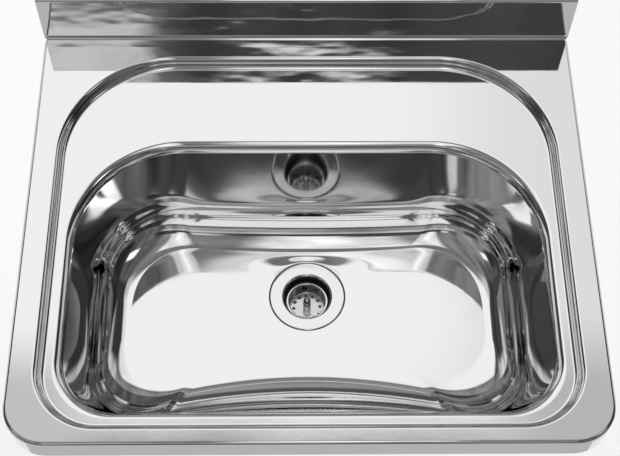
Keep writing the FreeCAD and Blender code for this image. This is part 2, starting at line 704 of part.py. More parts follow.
stemHole = newSketch(cup, "StemHole", "XY_Plane", f"{plateTop} + {cutPast}")
circle(stemHole, "0", "0", "stemRadius + stemClearance")
pocket(cup, stemHole, f"cupSheet + 2 * {cutPast}")
finishWaste(cup, "strainer_cup")

finishWaste(ring("CupSeal", f"{cupOuter} + sealFit", f"{cupRim} - sealFit", rimUnder,
                 f"{rimUnder} - cupSealThickness"), "cup_seal")

knobCentre = f"({plateTop} + knobHeight)"
neckEnd = f"({knobCentre} - sqrt(knobRadius ^ 2 - postNeckRadius ^ 2))"
postTop = f"({plateTop} + postHeight)"
stemEnd = "(-spiderDepth - spiderHeight - stemExtra)"
post = turned("Post", [
    ("0", stemEnd),
    ("stemRadius", stemEnd),
    ("stemRadius", plateTop),
    ("postRadius", plateTop),
    ("postRadius", f"{postTop} - postRounding"),
    ("postRadius - postRounding", postTop, "postRounding", 1),
    ("postNeckRadius", postTop),
    ("postNeckRadius", neckEnd),
    ("0", neckEnd),
])
finishWaste(post, "strainer_post")

knob = turned("Knob", [
    ("postNeckRadius", neckEnd),
    ("knobRadius", knobCentre, "knobRadius", 1),
    ("0", f"{knobCentre} + knobRadius", "knobRadius", 1),
    ("0", neckEnd),
])
finishWaste(knob, "strainer_knob")

stemBore = "(stemRadius + stemFit)"
washerUnder = f"({plateUnder} - postWasherThickness)"
finishWaste(ring("PostWasher", stemBore, "postWasherRadius", plateUnder, washerUnder), "post_washer")
finishWaste(hexNut("PostNut", "postNutFlats", stemBore, washerUnder, "postNutHeight"), "post_nut")

# ---------------------------------------------------------------- brackets and their fixings
# The right bracket is drawn and the left one is its mirror image. A stud stands at the middle of
# the origin while it is drawn, so that four copies can be set out with their washers and nuts.

webInner = f"({recessSide} + bracketGap)"
webOuter = f"({webInner} + bracketSheet)"
flangeEdge = "(deckWidth / 2 - apronRadius - bracketEdgeGap)"
flangeTop = "(-sheetThickness)"
flangeUnder = f"({flangeTop} - bracketSheet)"
bracket = newBody("Bracket")
web = newSketch(bracket, "BracketWeb", "YZ_Plane", webInner)
closedPath(web, [
    ("0", "-bracketHeight"),
    ("-bracketToe", "-bracketHeight"),
    ("-bracketLength", f"{flangeTop} - bracketNose"),
    ("-bracketLength", flangeTop),
    ("-returnDepth - foldRadius - sheetThickness", flangeTop),
    ("-returnDepth - foldRadius - sheetThickness", "-bracketTopGap"),
    ("0", "-bracketTopGap"),
])
pad(bracket, web, "bracketSheet")
top = newSketch(bracket, "BracketTop", "XY_Plane", flangeUnder)
closedPath(top, [
    (webInner, "-bracketLength"),
    (flangeEdge, "-bracketLength"),
    (flangeEdge, "-returnDepth - foldRadius - sheetThickness"),
    (webInner, "-returnDepth - foldRadius - sheetThickness"),
])
pad(bracket, top, "bracketSheet")
wallFlange = newSketch(bracket, "BracketWall", "XZ_Plane")
closedPath(wallFlange, [
    (f"{webOuter} - bracketWallFlange", "-bracketHeight"),
    (webOuter, "-bracketHeight"),
    (webOuter, "-bracketTopGap"),
    (f"{webOuter} - bracketWallFlange", "-bracketTopGap"),
])
pad(bracket, wallFlange, "bracketSheet")


def alongLine(edge, axis, wanted):
    """Whether an edge is straight, runs along one axis and passes a test on its middle."""
    if not isinstance(edge.Curve, (Part.Line, Part.LineSegment)):
        return False
    span = edge.Vertexes[-1].Point - edge.Vertexes[0].Point
    return abs(abs(span[axis]) - span.Length) < 1e-6 and wanted(edge.CenterOfMass)


def near(number, expression):
    return abs(number - value(expression)) < 0.01


fillet(bracket, "OuterBends", "bracketBend", lambda edge:
       alongLine(edge, 1, lambda at: near(at.x, webInner) and near(at.z, flangeTop))
       or alongLine(edge, 2, lambda at: near(at.x, webOuter) and near(at.y, "0")))
fillet(bracket, "InnerBends", "bracketBend - bracketSheet", lambda edge:
       alongLine(edge, 1, lambda at: near(at.x, webOuter) and near(at.z, flangeUnder))
       or alongLine(edge, 2, lambda at: near(at.x, webInner) and near(at.y, "-bracketSheet")))
fillet(bracket, "FlangeCorner", "bracketCorner", lambda edge:
       alongLine(edge, 2, lambda at: near(at.y, "-bracketLength") and near(at.x, flangeEdge)))
fillet(bracket, "WallCorners", "bracketCorner", lambda edge:
       alongLine(edge, 1, lambda at: near(at.x, f"{webOuter} - bracketWallFlange")))
screwHoles = newSketch(bracket, "WallScrewHoles", "XZ_Plane", f"-{cutPast}")
for turn in (1, -1):
    circle(screwHoles, f"{webOuter} - fixingInset", f"-fixingDrop + ({turn}) * fixingPitch / 2",
           "fixingHoleRadius")
pocket(bracket, screwHoles, f"bracketSheet + 2 * {cutPast}", reverse=True)
studAcross = f"({flangeEdge} - studEdgeGap)"
studHoles = newSketch(bracket, "StudHoles", "XY_Plane", "0")
for step in (0, 1):
    circle(studHoles, studAcross, f"-studBackDistance - {step} * studPitch", "studRadius + studClearance")
pocket(bracket, studHoles, f"sheetThickness + bracketSheet + {cutPast}")
finish(bracket, "wall_bracket_right")

mirrored = doc.addObject("Part::Mirroring", "BracketMirror")
mirrored.Source = bracket
mirrored.Normal = Vector(1, 0, 0)
doc.recompute()
mirrored.Label = "wall_bracket_left"
finished.append(mirrored)


def fourOf(name, label, body):
    """Copies of one body at the four studs, as one group of separate solids."""
    doc.recompute()
    places = [Vector(sign * value(studAcross), value(f"-studBackDistance - {step} * studPitch"), 0)
              for sign in (1, -1) for step in (0, 1)]
    group = doc.addObject("Part::Feature", name)
    group.Shape = Part.makeCompound([body.Shape.translated(spot) for spot in places])
    return finish(group, label)


studWasherTop = flangeUnder
springTop = f"({studWasherTop} - studWasherThickness)"
studNutTop = f"({springTop} - springHeight)"
nutBore = "(studRadius + nutClearance)"
studEnd = f"({flangeTop} - studLength)"
stud = turned("Stud", [("0", studEnd), ("studRadius", studEnd), ("studRadius", flangeTop), ("0", flangeTop)])
fourOf("Studs", "deck_studs", stud)
fourOf("StudWashers", "stud_washers",
       ring("StudWasher", "studRadius + studClearance", "studWasherRadius", studWasherTop, springTop))
spring = ring("SpringWasher", nutBore, "springRadius", springTop, studNutTop)
slit = newSketch(spring, "SpringSlit", "XY_Plane", springTop)
slitEnd = f"(springRadius + {cutPast})"
closedPath(slit, [("0", "-springSlit / 2"), (slitEnd, "-springSlit / 2"),
                  (slitEnd, "springSlit / 2"), ("0", "springSlit / 2")])
pocket(spring, slit, "springHeight")
fourOf("SpringWashers", "spring_washers", spring)
fourOf("StudNuts", "stud_nuts",
       hexNut("StudNut", "studNutFlats", nutBore, studNutTop, "studNutHeight"))

# ---------------------------------------------------------------- checks and files

doc.recompute()
for item in doc.Objects:
    if "Invalid" in item.State or "Error" in item.State:
        raise RuntimeError(f"{item.Name} did not build: {item.State}")
os.makedirs("parts", exist_ok=True)
for piece in finished:
    shape = piece.Shape
    if shape.isNull() or not shape.isValid() or not shape.Solids:
        raise RuntimeError(f"{piece.Label} is not a sound solid")
    shape.exportStep(f"parts/{piece.Label}.step")
    print(f"{piece.Label}: {len(shape.Solids)} solid(s), {shape.Volume / 1000:.2f} cm3")
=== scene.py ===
import json
import math
import bmesh
import bpy
import numpy as np
from mathutils import Matrix, Vector
from mathutils.geometry import delaunay_2d_cdt, tessellate_polygon


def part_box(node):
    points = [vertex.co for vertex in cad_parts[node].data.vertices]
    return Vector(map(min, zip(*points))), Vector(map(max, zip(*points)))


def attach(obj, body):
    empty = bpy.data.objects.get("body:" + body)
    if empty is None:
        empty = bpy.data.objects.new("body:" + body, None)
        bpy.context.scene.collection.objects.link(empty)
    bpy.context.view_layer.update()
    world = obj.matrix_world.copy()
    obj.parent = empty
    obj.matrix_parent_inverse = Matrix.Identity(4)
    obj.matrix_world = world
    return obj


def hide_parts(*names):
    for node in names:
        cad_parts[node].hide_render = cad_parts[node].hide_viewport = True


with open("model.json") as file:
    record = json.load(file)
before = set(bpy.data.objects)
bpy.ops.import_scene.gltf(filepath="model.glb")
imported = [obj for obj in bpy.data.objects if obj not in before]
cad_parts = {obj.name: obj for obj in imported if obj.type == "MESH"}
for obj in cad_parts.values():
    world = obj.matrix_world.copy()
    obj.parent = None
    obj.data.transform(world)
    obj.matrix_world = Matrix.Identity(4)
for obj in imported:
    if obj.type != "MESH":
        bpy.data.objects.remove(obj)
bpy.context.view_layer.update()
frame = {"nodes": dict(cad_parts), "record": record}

mm = 0.001
basinBody = "basin"
strainerBody = "strainer"
quarter = math.pi / 2
tiny = 1e-6     # a radius or a bow below this counts as none


def newMaterial(name, color, metallic, roughness):
    material = bpy.data.materials.new(name)
    material.use_nodes = True
    shader = material.node_tree.nodes["Principled BSDF"]
    shader.inputs["Base Color"].default_value = (*color, 1)
    shader.inputs["Metallic"].default_value = metallic
    shader.inputs["Roughness"].default_value = roughness
    return material, material.node_tree.nodes, material.node_tree.links, shader


def noiseOf(nodes, links, scale, detail, stretch=(1, 1, 1)):
    # noise in metres of the basin's own frame, so it lies the same on every piece
    place = nodes.new("ShaderNodeTexCoord")
    mapping = nodes.new("ShaderNodeMapping")
    mapping.inputs["Scale"].default_value = stretch
    noise = nodes.new("ShaderNodeTexNoise")
    noise.inputs["Scale"].default_value = scale
    noise.inputs["Detail"].default_value = detail
    links.new(place.outputs["Object"], mapping.inputs["Vector"])
    links.new(mapping.outputs["Vector"], noise.inputs["Vector"])
    return noise.outputs["Fac"]


def rangeOf(nodes, links, value, low, high, start=0.35, end=0.65):
    spread = nodes.new("ShaderNodeMapRange")
    spread.inputs["From Min"].default_value = start
    spread.inputs["From Max"].default_value = end
    spread.inputs["To Min"].default_value = low
    spread.inputs["To Max"].default_value = high
    links.new(value, spread.inputs["Value"])
    return spread.outputs["Result"]


def mathOf(nodes, links, operation, first, second=None):
    node = nodes.new("ShaderNodeMath")
    node.operation = operation
    links.new(first, node.inputs[0])
    if second is not None:
        links.new(second, node.inputs[1])
    return node.outputs[0]


def bumpOf(nodes, links, height, depth, under=None):
    bump = nodes.new("ShaderNodeBump")
    bump.inputs["Strength"].default_value = 1
    bump.inputs["Distance"].default_value = depth
    links.new(height, bump.inputs["Height"])
    if under is not None:
        links.new(under, bump.inputs["Normal"])
    return bump.outputs["Normal"]


polish = {"color": (0.86, 0.86, 0.865), "roughness": 0.035, "gloss": (0.02, 0.065),
          # each noise: scale, detail and stretch
          # upstandRise: the ripple of the upstand sets in between these heights, in metres
          "waveNoise": (11, 1), "wave": 0.00022,
          "upstandNoise": (14, 3, (0.5, 1, 1)), "upstandWave": 0.0014, "upstandRise": (0.074, 0.084),
          "streakNoise": (90, 2, (1, 1, 0.06)), "streak": 0.000012,
          "smearNoise": (26, 3, (1, 1, 0.4))}


def mirrorPolish():
    # long waves, stronger on the upstand, with fine streaks and an uneven gloss
    material, nodes, links, shader = newMaterial("polishedSteel", polish["color"], 1,
                                                 polish["roughness"])
    wave = bumpOf(nodes, links, noiseOf(nodes, links, *polish["waveNoise"]), polish["wave"])
    place = nodes.new("ShaderNodeTexCoord")
    parts = nodes.new("ShaderNodeSeparateXYZ")
    links.new(place.outputs["Object"], parts.inputs["Vector"])
    upstandShare = rangeOf(nodes, links, parts.outputs["Z"], 0, 1, *polish["upstandRise"])
    ripple = rangeOf(nodes, links, noiseOf(nodes, links, *polish["upstandNoise"]), -0.5, 0.5, 0, 1)
    ripple = mathOf(nodes, links, "MULTIPLY", ripple, upstandShare)
    wave = bumpOf(nodes, links, ripple, polish["upstandWave"], wave)
    streak = bumpOf(nodes, links, noiseOf(nodes, links, *polish["streakNoise"]), polish["streak"], wave)
    links.new(streak, shader.inputs["Normal"])
    smear = noiseOf(nodes, links, *polish["smearNoise"])
    links.new(rangeOf(nodes, links, smear, *polish["gloss"]), shader.inputs["Roughness"])
    return material


grained = {
    # the sheet's underside
    "millSteel": {"color": (0.56, 0.56, 0.57), "metallic": 1, "roughness": 0.35,
                  "noise": (900, 3, (0.04, 1, 1)), "gloss": (0.3, 0.45), "depth": 0.00001},
    "turnedSteel": {"color": (0.84, 0.84, 0.845), "metallic": 1, "roughness": 0.05,
                    "noise": (300, 3, (1, 1, 3)), "gloss": (0.03, 0.09), "depth": 0.000003},
    # the waste's mouth, throat and holes: dull where no polish reaches, and coloured dark as painted
    # shade
    "dullSteelPaintedShade": {"color": (0.07, 0.07, 0.07), "metallic": 1, "roughness": 0.45,
                  "noise": (220, 4), "gloss": (0.4, 0.65), "depth": 0.00003},
    # the plate in satin steel, and the inner wall of the strainer's cup, coloured dark as painted shade
    "satinSteel": {"color": (0.97, 0.97, 0.97), "metallic": 0.75, "roughness": 0.22,
                   "noise": (900, 3), "gloss": (0.18, 0.28), "depth": 0.00001},
    "paintedShadeWallSteel": {"color": (0.12, 0.12, 0.12), "metallic": 1, "roughness": 0.14,
                  "noise": (500, 2, (1, 1, 0.08)), "gloss": (0.1, 0.2), "depth": 0.000008},
    "zincPlate": {"color": (0.6, 0.61, 0.64), "metallic": 1, "roughness": 0.32,
                  "noise": (160, 4), "gloss": (0.24, 0.42), "depth": 0.00002},
    "blackRubber": {"color": (0.022, 0.022, 0.023), "metallic": 0, "roughness": 0.6,
                    "noise": (1400, 3), "depth": 0.00002},
    "whiteNylon": {"color": (0.78, 0.78, 0.73), "metallic": 0, "roughness": 0.42,
                   "noise": (700, 2), "depth": 0.00001},
    "nutBrass": {"color": (0.74, 0.55, 0.26), "metallic": 1, "roughness": 0.25,
                 "noise": (700, 2, (1, 1, 0.1)), "gloss": (0.18, 0.34), "depth": 0.000008},
}


def grainedFinish(name, look):
    # one noise raises the surface and, where a gloss is given, varies the roughness
    material, nodes, links, shader = newMaterial(name, look["color"], look["metallic"],
                                                 look["roughness"])
    grain = noiseOf(nodes, links, *look["noise"])
    if "gloss" in look:
        links.new(rangeOf(nodes, links, grain, *look["gloss"]), shader.inputs["Roughness"])
    links.new(bumpOf(nodes, links, grain, look["depth"]), shader.inputs["Normal"])
    return material


finish = {"polishedSteel": mirrorPolish()}
for name, look in grained.items():
    finish[name] = grainedFinish(name, look)
slotFinish = {"polished_sheet": finish["polishedSteel"], "turned_steel": finish["turnedSteel"],
              "plated_steel": finish["zincPlate"], "black_rubber": finish["blackRubber"],
              "white_nylon": finish["whiteNylon"], "nut_brass": finish["nutBrass"]}
for part in frame["record"]["subparts"]:
    node = frame["nodes"][part["node"]]
    node.data.materials.clear()
    node.data.materials.append(slotFinish[part["material_slot"]])
print("materials made")


def finishPiece(name, mesh, body, node, slot):
    # a smooth piece in its slot's finish that rides on a body in place of a CAD node
    mesh.materials.append(slotFinish[slot])
    mesh.polygons.foreach_set("use_smooth", [True] * len(mesh.polygons))
    piece = bpy.data.objects.new(name, mesh)
    bpy.context.scene.collection.objects.link(piece)
    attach(piece, body)
    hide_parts(node)
    return piece


def rounding(across, up, radius, firstTurn, lastTurn, steps):
    # points of a rounded corner in a turned profile, with turns in degrees
    points = []
    for step in range(steps + 1):
        turn = math.radians(firstTurn + (lastTurn - firstTurn) * step / steps)
        points.append((across + radius * math.cos(turn), up + radius * math.sin(turn)))
    return points


def circle(x, y, radius, steps):
    turns = [2 * math.pi * step / steps for step in range(steps)]
    return [(x + radius * math.cos(turn), y + radius * math.sin(turn)) for turn in turns]


def band(first, second, closed=True):
    # faces between two rows of points, given by their numbers
    pairs = list(zip(first, second))
    following = pairs[1:] + pairs[:1] if closed else pairs[1:]
    return [(this, after, afterSecond, thisSecond)
            for (this, thisSecond), (after, afterSecond) in zip(pairs, following)]


def wound(sections):
    # a wire through sections of four corners, closed at both ends
    vertices = [corner for section in sections for corner in section]
    last = len(vertices) - 1
    faces = []
    for start in range(0, last - 3, 4):
        faces += band(range(start, start + 4), range(start + 4, start + 8))
    return vertices, faces + [(0, 1, 2, 3), (last, last - 1, last - 2, last - 3)]


def turned(profile, steps=96):
    # a closed profile of (radius, height) turned about the vertical
    # a radius of 0 closes it on the axis
    vertices, rings = [], []
    for radius, height in profile:
        if radius < tiny:
            rings.append([len(vertices)])
            vertices.append((0, 0, height))
            continue
        rings.append(list(range(len(vertices), len(vertices) + steps)))
        vertices += [(x, y, height) for x, y in circle(0, 0, radius, steps)]
    faces = []
    closed = profile[0][0] > tiny and profile[-1][0] > tiny
    for lower, upper in list(zip(rings, rings[1:])) + ([(rings[-1], rings[0])] if closed else []):
        for step in range(steps):
            after = (step + 1) % steps
            corners = [lower[step % len(lower)], lower[after % len(lower)],
                       upper[after % len(upper)], upper[step % len(upper)]]
            faces.append(tuple(dict.fromkeys(corners)))
    return vertices, faces


def threadRidge(radius, crest, pitch, low, high, steps=40):
    # the raised line of a screw thread, running out at both ends
    turns = (high - low) / pitch
    count = int(turns * steps)
    sections = []
    for step in range(count + 1):
        turn = 2 * math.pi * step / steps
        level = low + pitch * step / steps
        rise = min(1, 3 * step / steps, 3 * (count - step) / steps)
        tip = radius + (crest - radius) * max(rise, 0.02)
        corners = ((radius - 0.05, -0.46), (tip, -0.08), (tip, 0.08), (radius - 0.05, 0.46))
        sections.append([(across * math.cos(turn), across * math.sin(turn), level + up * pitch)
                         for across, up in corners])
    return wound(sections)


def hexagonNut(flats, hole, low, high, crown=0.3, steps=72):
    # a nut whose corners are turned off at 30 degrees, with a countersunk hole
    slope = math.tan(math.radians(30))
    rings = []
    for level, sign in ((low, 1), (high, -1)):
        hexagonEdge, face, sink, bore = [], [], [], []
        for step in range(steps):
            turn = 2 * math.pi * step / steps
            reach = flats / 2 / math.cos((turn + math.pi / 6) % (math.pi / 3) - math.pi / 6)
            drop = (reach - flats / 2 + crown) * slope
            c, n = math.cos(turn), math.sin(turn)
            hexagonEdge.append((reach * c, reach * n, level + sign * drop))
            face.append(((flats / 2 - crown) * c, (flats / 2 - crown) * n, level))
            sink.append(((hole + 1.5 * crown) * c, (hole + 1.5 * crown) * n, level))
            bore.append((hole * c, hole * n, level + sign * 1.5 * crown))
        rings.append([bore, sink, face, hexagonEdge])
    loops = rings[0] + rings[1][::-1]
    faces = []
    for number in range(len(loops)):
        this, following = number * steps, (number + 1) % len(loops) * steps
        faces += band(range(this, this + steps), range(following, following + steps))
    return [point for loop in loops for point in loop], faces


def splitRing(inner, outer, low, high, wire, steps=60):
    # a spring washer: a flat wire wound once, with its ends apart
    gap = 8     # degrees from the seam to either end
    sections = []
    for step in range(steps + 1):
        turn = math.radians(gap + (360 - 2 * gap) * step / steps)
        level = low + (high - low - wire) * step / steps
        corners = ((inner, 0), (outer, 0), (outer, wire), (inner, wire))
        sections.append([(across * math.cos(turn), across * math.sin(turn), level + up)
                         for across, up in corners])
    return wound(sections)


def makePiece(name, shapes, places, body, node, slot, angle=32):
    # shapes in millimetres, set out at places in metres; edges sharper than the angle stay sharp
    build = bmesh.new()
    for place in places:
        for vertices, faces in shapes:
            made = [build.verts.new(Vector(vertex) * mm + place) for vertex in vertices]
            for face in faces:
                build.faces.new([made[corner] for corner in face])
    bmesh.ops.recalc_face_normals(build, faces=build.faces)
    mesh = bpy.data.meshes.new(name)
    build.to_mesh(mesh)
    build.free()
    piece = finishPiece(name, mesh, body, node, slot)
    mesh.set_sharp_from_angle(angle=math.radians(angle))
    return piece


# solved from the outline in the photo; the place is in millimetres and the turns are in degrees
camera = {"place": (-14.5, -774.6, 1043.4), "pitch": 29.629, "roll": 1.297, "yaw": -1.622,
          "lens": 74.28, "sensor": 36}

cameraData = bpy.data.cameras.new("photoCamera")
cameraData.sensor_width = camera["sensor"]
cameraData.lens = camera["lens"]
photoCamera = bpy.data.objects.new("photoCamera", cameraData)
bpy.context.scene.collection.objects.link(photoCamera)
yaw, pitch, roll = [math.radians(camera[name]) for name in ("yaw", "pitch", "roll")]
photoCamera.matrix_world = (Matrix.Translation(Vector(camera["place"]) * mm)
                            @ Matrix.Rotation(yaw, 4, "Z") @ Matrix.Rotation(pitch, 4, "X")
                            @ Matrix.Rotation(roll, 4, "Z"))
bpy.context.scene.camera = photoCamera
print("camera placed")

# The sheet is built from rings in plan, from the deck's opening down to the waste hole. Each ring has
# as many points as the next. Lengths here are millimetres, and z = 0 is the top of the deck.
pressing = {
    "sheet": 1.2,
    "apronRadius": 3.2, "apronHeight": 24, "frontCorner": 36,
    "upstandHeight": 54, "returnDepth": 12, "returnLip": 12, "foldRadius": 3, "returnRadius": 2.4,
    "recessSide": 21, "recessBack": 22, "recessFront": 12.5, "recessDepth": 10,
    "recessTop": 4.4, "recessFoot": 4.8, "recessDraft": 3.5,
    "recessBackCorner": 107, "recessFrontCorner": 55,
    "bowlSide": 35, "bowlReach": 271, "bowlFront": 26.2, "bowlDepth": 140, "rimRadius": 7,
    "rimBackCorner": 100, "rimFrontCorner": 50, "footBackCorner": 68, "footFrontCorner": 50,
    "sideDraft": 6, "backDraft": 3, "frontDraft": 18,
    "sideFoot": 28, "backFoot": 34, "frontFoot": 58, "frontWaist": 13, "backWaist": 4,
    "floorFall": 1.5, "seatGap": 0.5, "seatDrop": 3.4, "seatRound": 0.6, "hole": 25.4,
    # how finely the plan's corners and sides, the deck's edges, the bends and the upstand are divided
    "cornerSteps": 28, "sideSteps": 8, "longSteps": 20, "deckSteps": 24, "frontSteps": 30,
    "bendSteps": 8, "upstandSteps": 40,
}

sheetLow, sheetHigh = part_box("basin_pressing")
deckLevel = sheetHigh.z - pressing["upstandHeight"] * mm
halfWidth = sheetHigh.x / mm
frontEdge = sheetLow.y / mm
upstandFace = -pressing["returnDepth"]
foldLine = upstandFace - pressing["foldRadius"]
wasteLow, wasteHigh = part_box("waste_body")
wasteY = (wasteLow.y + wasteHigh.y) / 2 / mm
flangeRadius = (wasteHigh.x - wasteLow.x) / 2 / mm


def planOutline(side, back, front, backCorner, frontCorner, backBow=0, frontBow=0):
    # four corner arcs and four sides, counterclockwise from the right front corner
    # the long sides may bow in
    corners = []
    ends = ((front, frontCorner, frontBow, 1), (back, backCorner, backBow, -1))
    for level, radius, bow, inward in ends:
        reach, gap = side - radius, radius - bow
        bowRadius, swing = 0, 0
        if bow > tiny:
            bowRadius = (reach ** 2 + gap ** 2 - radius ** 2) / (2 * bow)
            swing = math.atan2(reach, bowRadius + gap)
        corners.append((reach, level + inward * radius, radius, swing, bowRadius))
    (fx, fy, fr, fs, fb), (bx, by, br, bs, bb) = corners
    arcs = [(fx, fy, fr, -quarter - fs, 0), (bx, by, br, 0, quarter + bs),
            (-bx, by, br, quarter - bs, 2 * quarter), (-fx, fy, fr, 2 * quarter, 3 * quarter + fs)]
    bows = [(0, 0), (bb, bs), (0, 0), (fb, fs)]
    points, tangents = [], []
    for number, (cx, cy, radius, first, last) in enumerate(arcs):
        turns = np.linspace(first, last, pressing["cornerSteps"] + 1)
        points.append(np.stack([cx + radius * np.cos(turns), cy + radius * np.sin(turns)], 1))
        tangents.append(np.stack([-np.sin(turns), np.cos(turns)], 1))
        start = points[-1][-1]
        nextX, nextY, nextRadius, nextTurn, _ = arcs[(number + 1) % 4]
        end = np.array([nextX + nextRadius * math.cos(nextTurn),
                        nextY + nextRadius * math.sin(nextTurn)])
        count = pressing["longSteps"] if number % 2 else pressing["sideSteps"]
        shares = np.arange(1, count)[:, None] / count
        bowRadius, swing = bows[number]
        if bowRadius == 0:
            points.append(start + shares * (end - start))
            tangents.append(np.repeat([(end - start) / np.linalg.norm(end - start)], count - 1, 0))
            continue
        outward = 1 if number == 1 else -1
        turns = swing * (1 - 2 * shares[:, 0])
        inward = 2 * bowRadius * np.sin((swing + turns) / 2) * np.sin((swing - turns) / 2)
        points.append(np.stack([outward * bowRadius * np.sin(turns), start[1] - outward * inward], 1))
        tangents.append(np.stack([-outward * np.cos(turns), -np.sin(turns)], 1))
    return np.concatenate(points), np.concatenate(tangents)


def wallInset(depth, draft, foot):
    # how far a bowl wall has come in from the rim at a depth below the ledge
    rim, height = pressing["rimRadius"], pressing["bowlDepth"] - pressing["recessDepth"]
    lean = math.radians(draft)
    topEnd, footStart = rim * (1 - math.sin(lean)), height - foot * (1 - math.sin(lean))
    if depth < topEnd:
        return math.sqrt(max(rim ** 2 - (rim - depth) ** 2, 0))
    straight = rim * math.cos(lean)
    if depth < footStart:
        return straight + (depth - topEnd) * math.tan(lean)
    inner = straight + (footStart - topEnd) * math.tan(lean) + foot * math.cos(lean)
    return inner - math.sqrt(max(foot ** 2 - (foot - height + depth) ** 2, 0))


def recessRing(inset, depth):
    points, tangents = planOutline(
        halfWidth - pressing["recessSide"] - inset, upstandFace - pressing["recessBack"] - inset,
        frontEdge + pressing["recessFront"] + inset, pressing["recessBackCorner"] - inset,
        pressing["recessFrontCorner"] - inset)
    return points, tangents, -depth


def bowlRing(depth):
    share = depth / (pressing["bowlDepth"] - pressing["recessDepth"])
    easing = (3 - 2 * share) * share ** 2
    front = frontEdge + pressing["bowlFront"]
    side = halfWidth - pressing["bowlSide"]
    points, tangents = planOutline(
        side - wallInset(depth, pressing["sideDraft"], pressing["sideFoot"]),
        front + pressing["bowlReach"] - wallInset(depth, pressing["backDraft"], pressing["backFoot"]),
        front + wallInset(depth, pressing["frontDraft"], pressing["frontFoot"]),
        pressing["rimBackCorner"] + share * (pressing["footBackCorner"] - pressing["rimBackCorner"]),
        pressing["rimFrontCorner"] + share * (pressing["footFrontCorner"] - pressing["rimFrontCorner"]),
        pressing["backWaist"] * easing, pressing["frontWaist"] * easing)
    return points, tangents, -pressing["recessDepth"] - depth


def wasteRing(radius, depth):
    # a circle round the waste, its points opposite those of the bowl's foot
    foot = bowlRing(pressing["bowlDepth"] - pressing["recessDepth"])[0]
    turns = np.arctan2(foot[:, 1] - wasteY, foot[:, 0])
    points = np.stack([radius * np.cos(turns), wasteY + radius * np.sin(turns)], 1)
    return points, np.stack([-np.sin(turns), np.cos(turns)], 1), -depth


def between(first, second, share, height):
    points = first[0] + share * (second[0] - first[0])
    tangents = first[1] + share * (second[1] - first[1])
    return points, tangents, height


def dishStretches():
    # the dish from the deck inwards: each stretch is a shape at a share from 0 to 1, and its steps
    lean = math.radians(pressing["recessDraft"])
    top, foot, depth = pressing["recessTop"], pressing["recessFoot"], pressing["recessDepth"]
    topEnd = (top * math.cos(lean), top * (1 - math.sin(lean)))
    footDepth = depth - foot * (1 - math.sin(lean))
    footInset = topEnd[0] + (footDepth - topEnd[1]) * math.tan(lean)
    footCentre = footInset + foot * math.cos(lean)

    def recessTop(share):
        turn = share * (quarter - lean)
        return recessRing(top * math.sin(turn), top * (1 - math.cos(turn)))

    def recessWall(share):
        return recessRing(topEnd[0] + share * (footInset - topEnd[0]),
                          topEnd[1] + share * (footDepth - topEnd[1]))

    def recessFoot(share):
        turn = (1 - share) * (quarter - lean)
        return recessRing(footCentre - foot * math.sin(turn), depth - foot * (1 - math.cos(turn)))

    def ledge(share):
        return between(recessRing(footCentre, depth), bowlRing(0), share, -depth)

    steepest = quarter - math.radians(pressing["frontDraft"])
    rim, height, deepest = pressing["rimRadius"], pressing["bowlDepth"] - depth, pressing["frontFoot"]
    wallTop, wallEnd = rim * (1 - math.cos(steepest)), height - deepest * (1 - math.cos(steepest))

    def rimRound(share):
        return bowlRing(rim * (1 - math.cos(share * steepest)))

    def wall(share):
        return bowlRing(wallTop + share * (wallEnd - wallTop))

    def bowlFoot(share):
        return bowlRing(height - deepest * (1 - math.cos((1 - share) * steepest)))

    fall, drop = pressing["floorFall"], pressing["seatDrop"]
    small = pressing["seatRound"]
    seatRadius = flangeRadius + pressing["seatGap"]
    floorDepth = pressing["bowlDepth"]

    def floor(share):
        eased = (3 - 2 * share) * share ** 2
        return between(bowlRing(height), wasteRing(seatRadius + small, 0), share,
                       -floorDepth - fall * eased)

    def seatTop(share):
        turn = share * quarter
        return wasteRing(seatRadius + small - small * math.sin(turn),
                         floorDepth + fall + small * (1 - math.cos(turn)))

    def seatFoot(share):
        turn = (1 - share) * quarter
        return wasteRing(seatRadius - small + small * math.sin(turn),
                         floorDepth + fall + drop - small * (1 - math.cos(turn)))

    def seatWall(share):
        return wasteRing(seatRadius, floorDepth + fall + small + share * (drop - 2 * small))

    def seat(share):
        return wasteRing(seatRadius - small + share * (pressing["hole"] - seatRadius + small),
                         floorDepth + fall + drop)

    return [(recessTop, 8), (recessWall, 2), (recessFoot, 8), (ledge, 3), (rimRound, 12), (wall, 14),
            (bowlFoot, 28), (floor, 16), (seatTop, 4), (seatWall, 1), (seatFoot, 4), (seat, 1)]


def dishSurface():
    # rings of points with their exact normals
    stretches = dishStretches()
    nudge = 1e-4     # the slope is taken between shares this far to either side
    rings, normals = [], []
    for number, (shape, count) in enumerate(stretches):
        for index in range(count + (number == len(stretches) - 1)):
            share = index / count
            points, tangents, level = shape(share)
            before = shape(max(share - nudge, 0))
            after = shape(min(share + nudge, 1))
            inward = np.column_stack([after[0] - before[0], np.full(len(points), after[2] - before[2])])
            along = np.column_stack([tangents, np.zeros(len(points))])
            normal = np.cross(inward, along) * -1
            normal /= np.linalg.norm(normal, axis=1)[:, None]
            rings.append(np.column_stack([points, np.full(len(points), level)]))
            normals.append(normal)
    return rings, normals


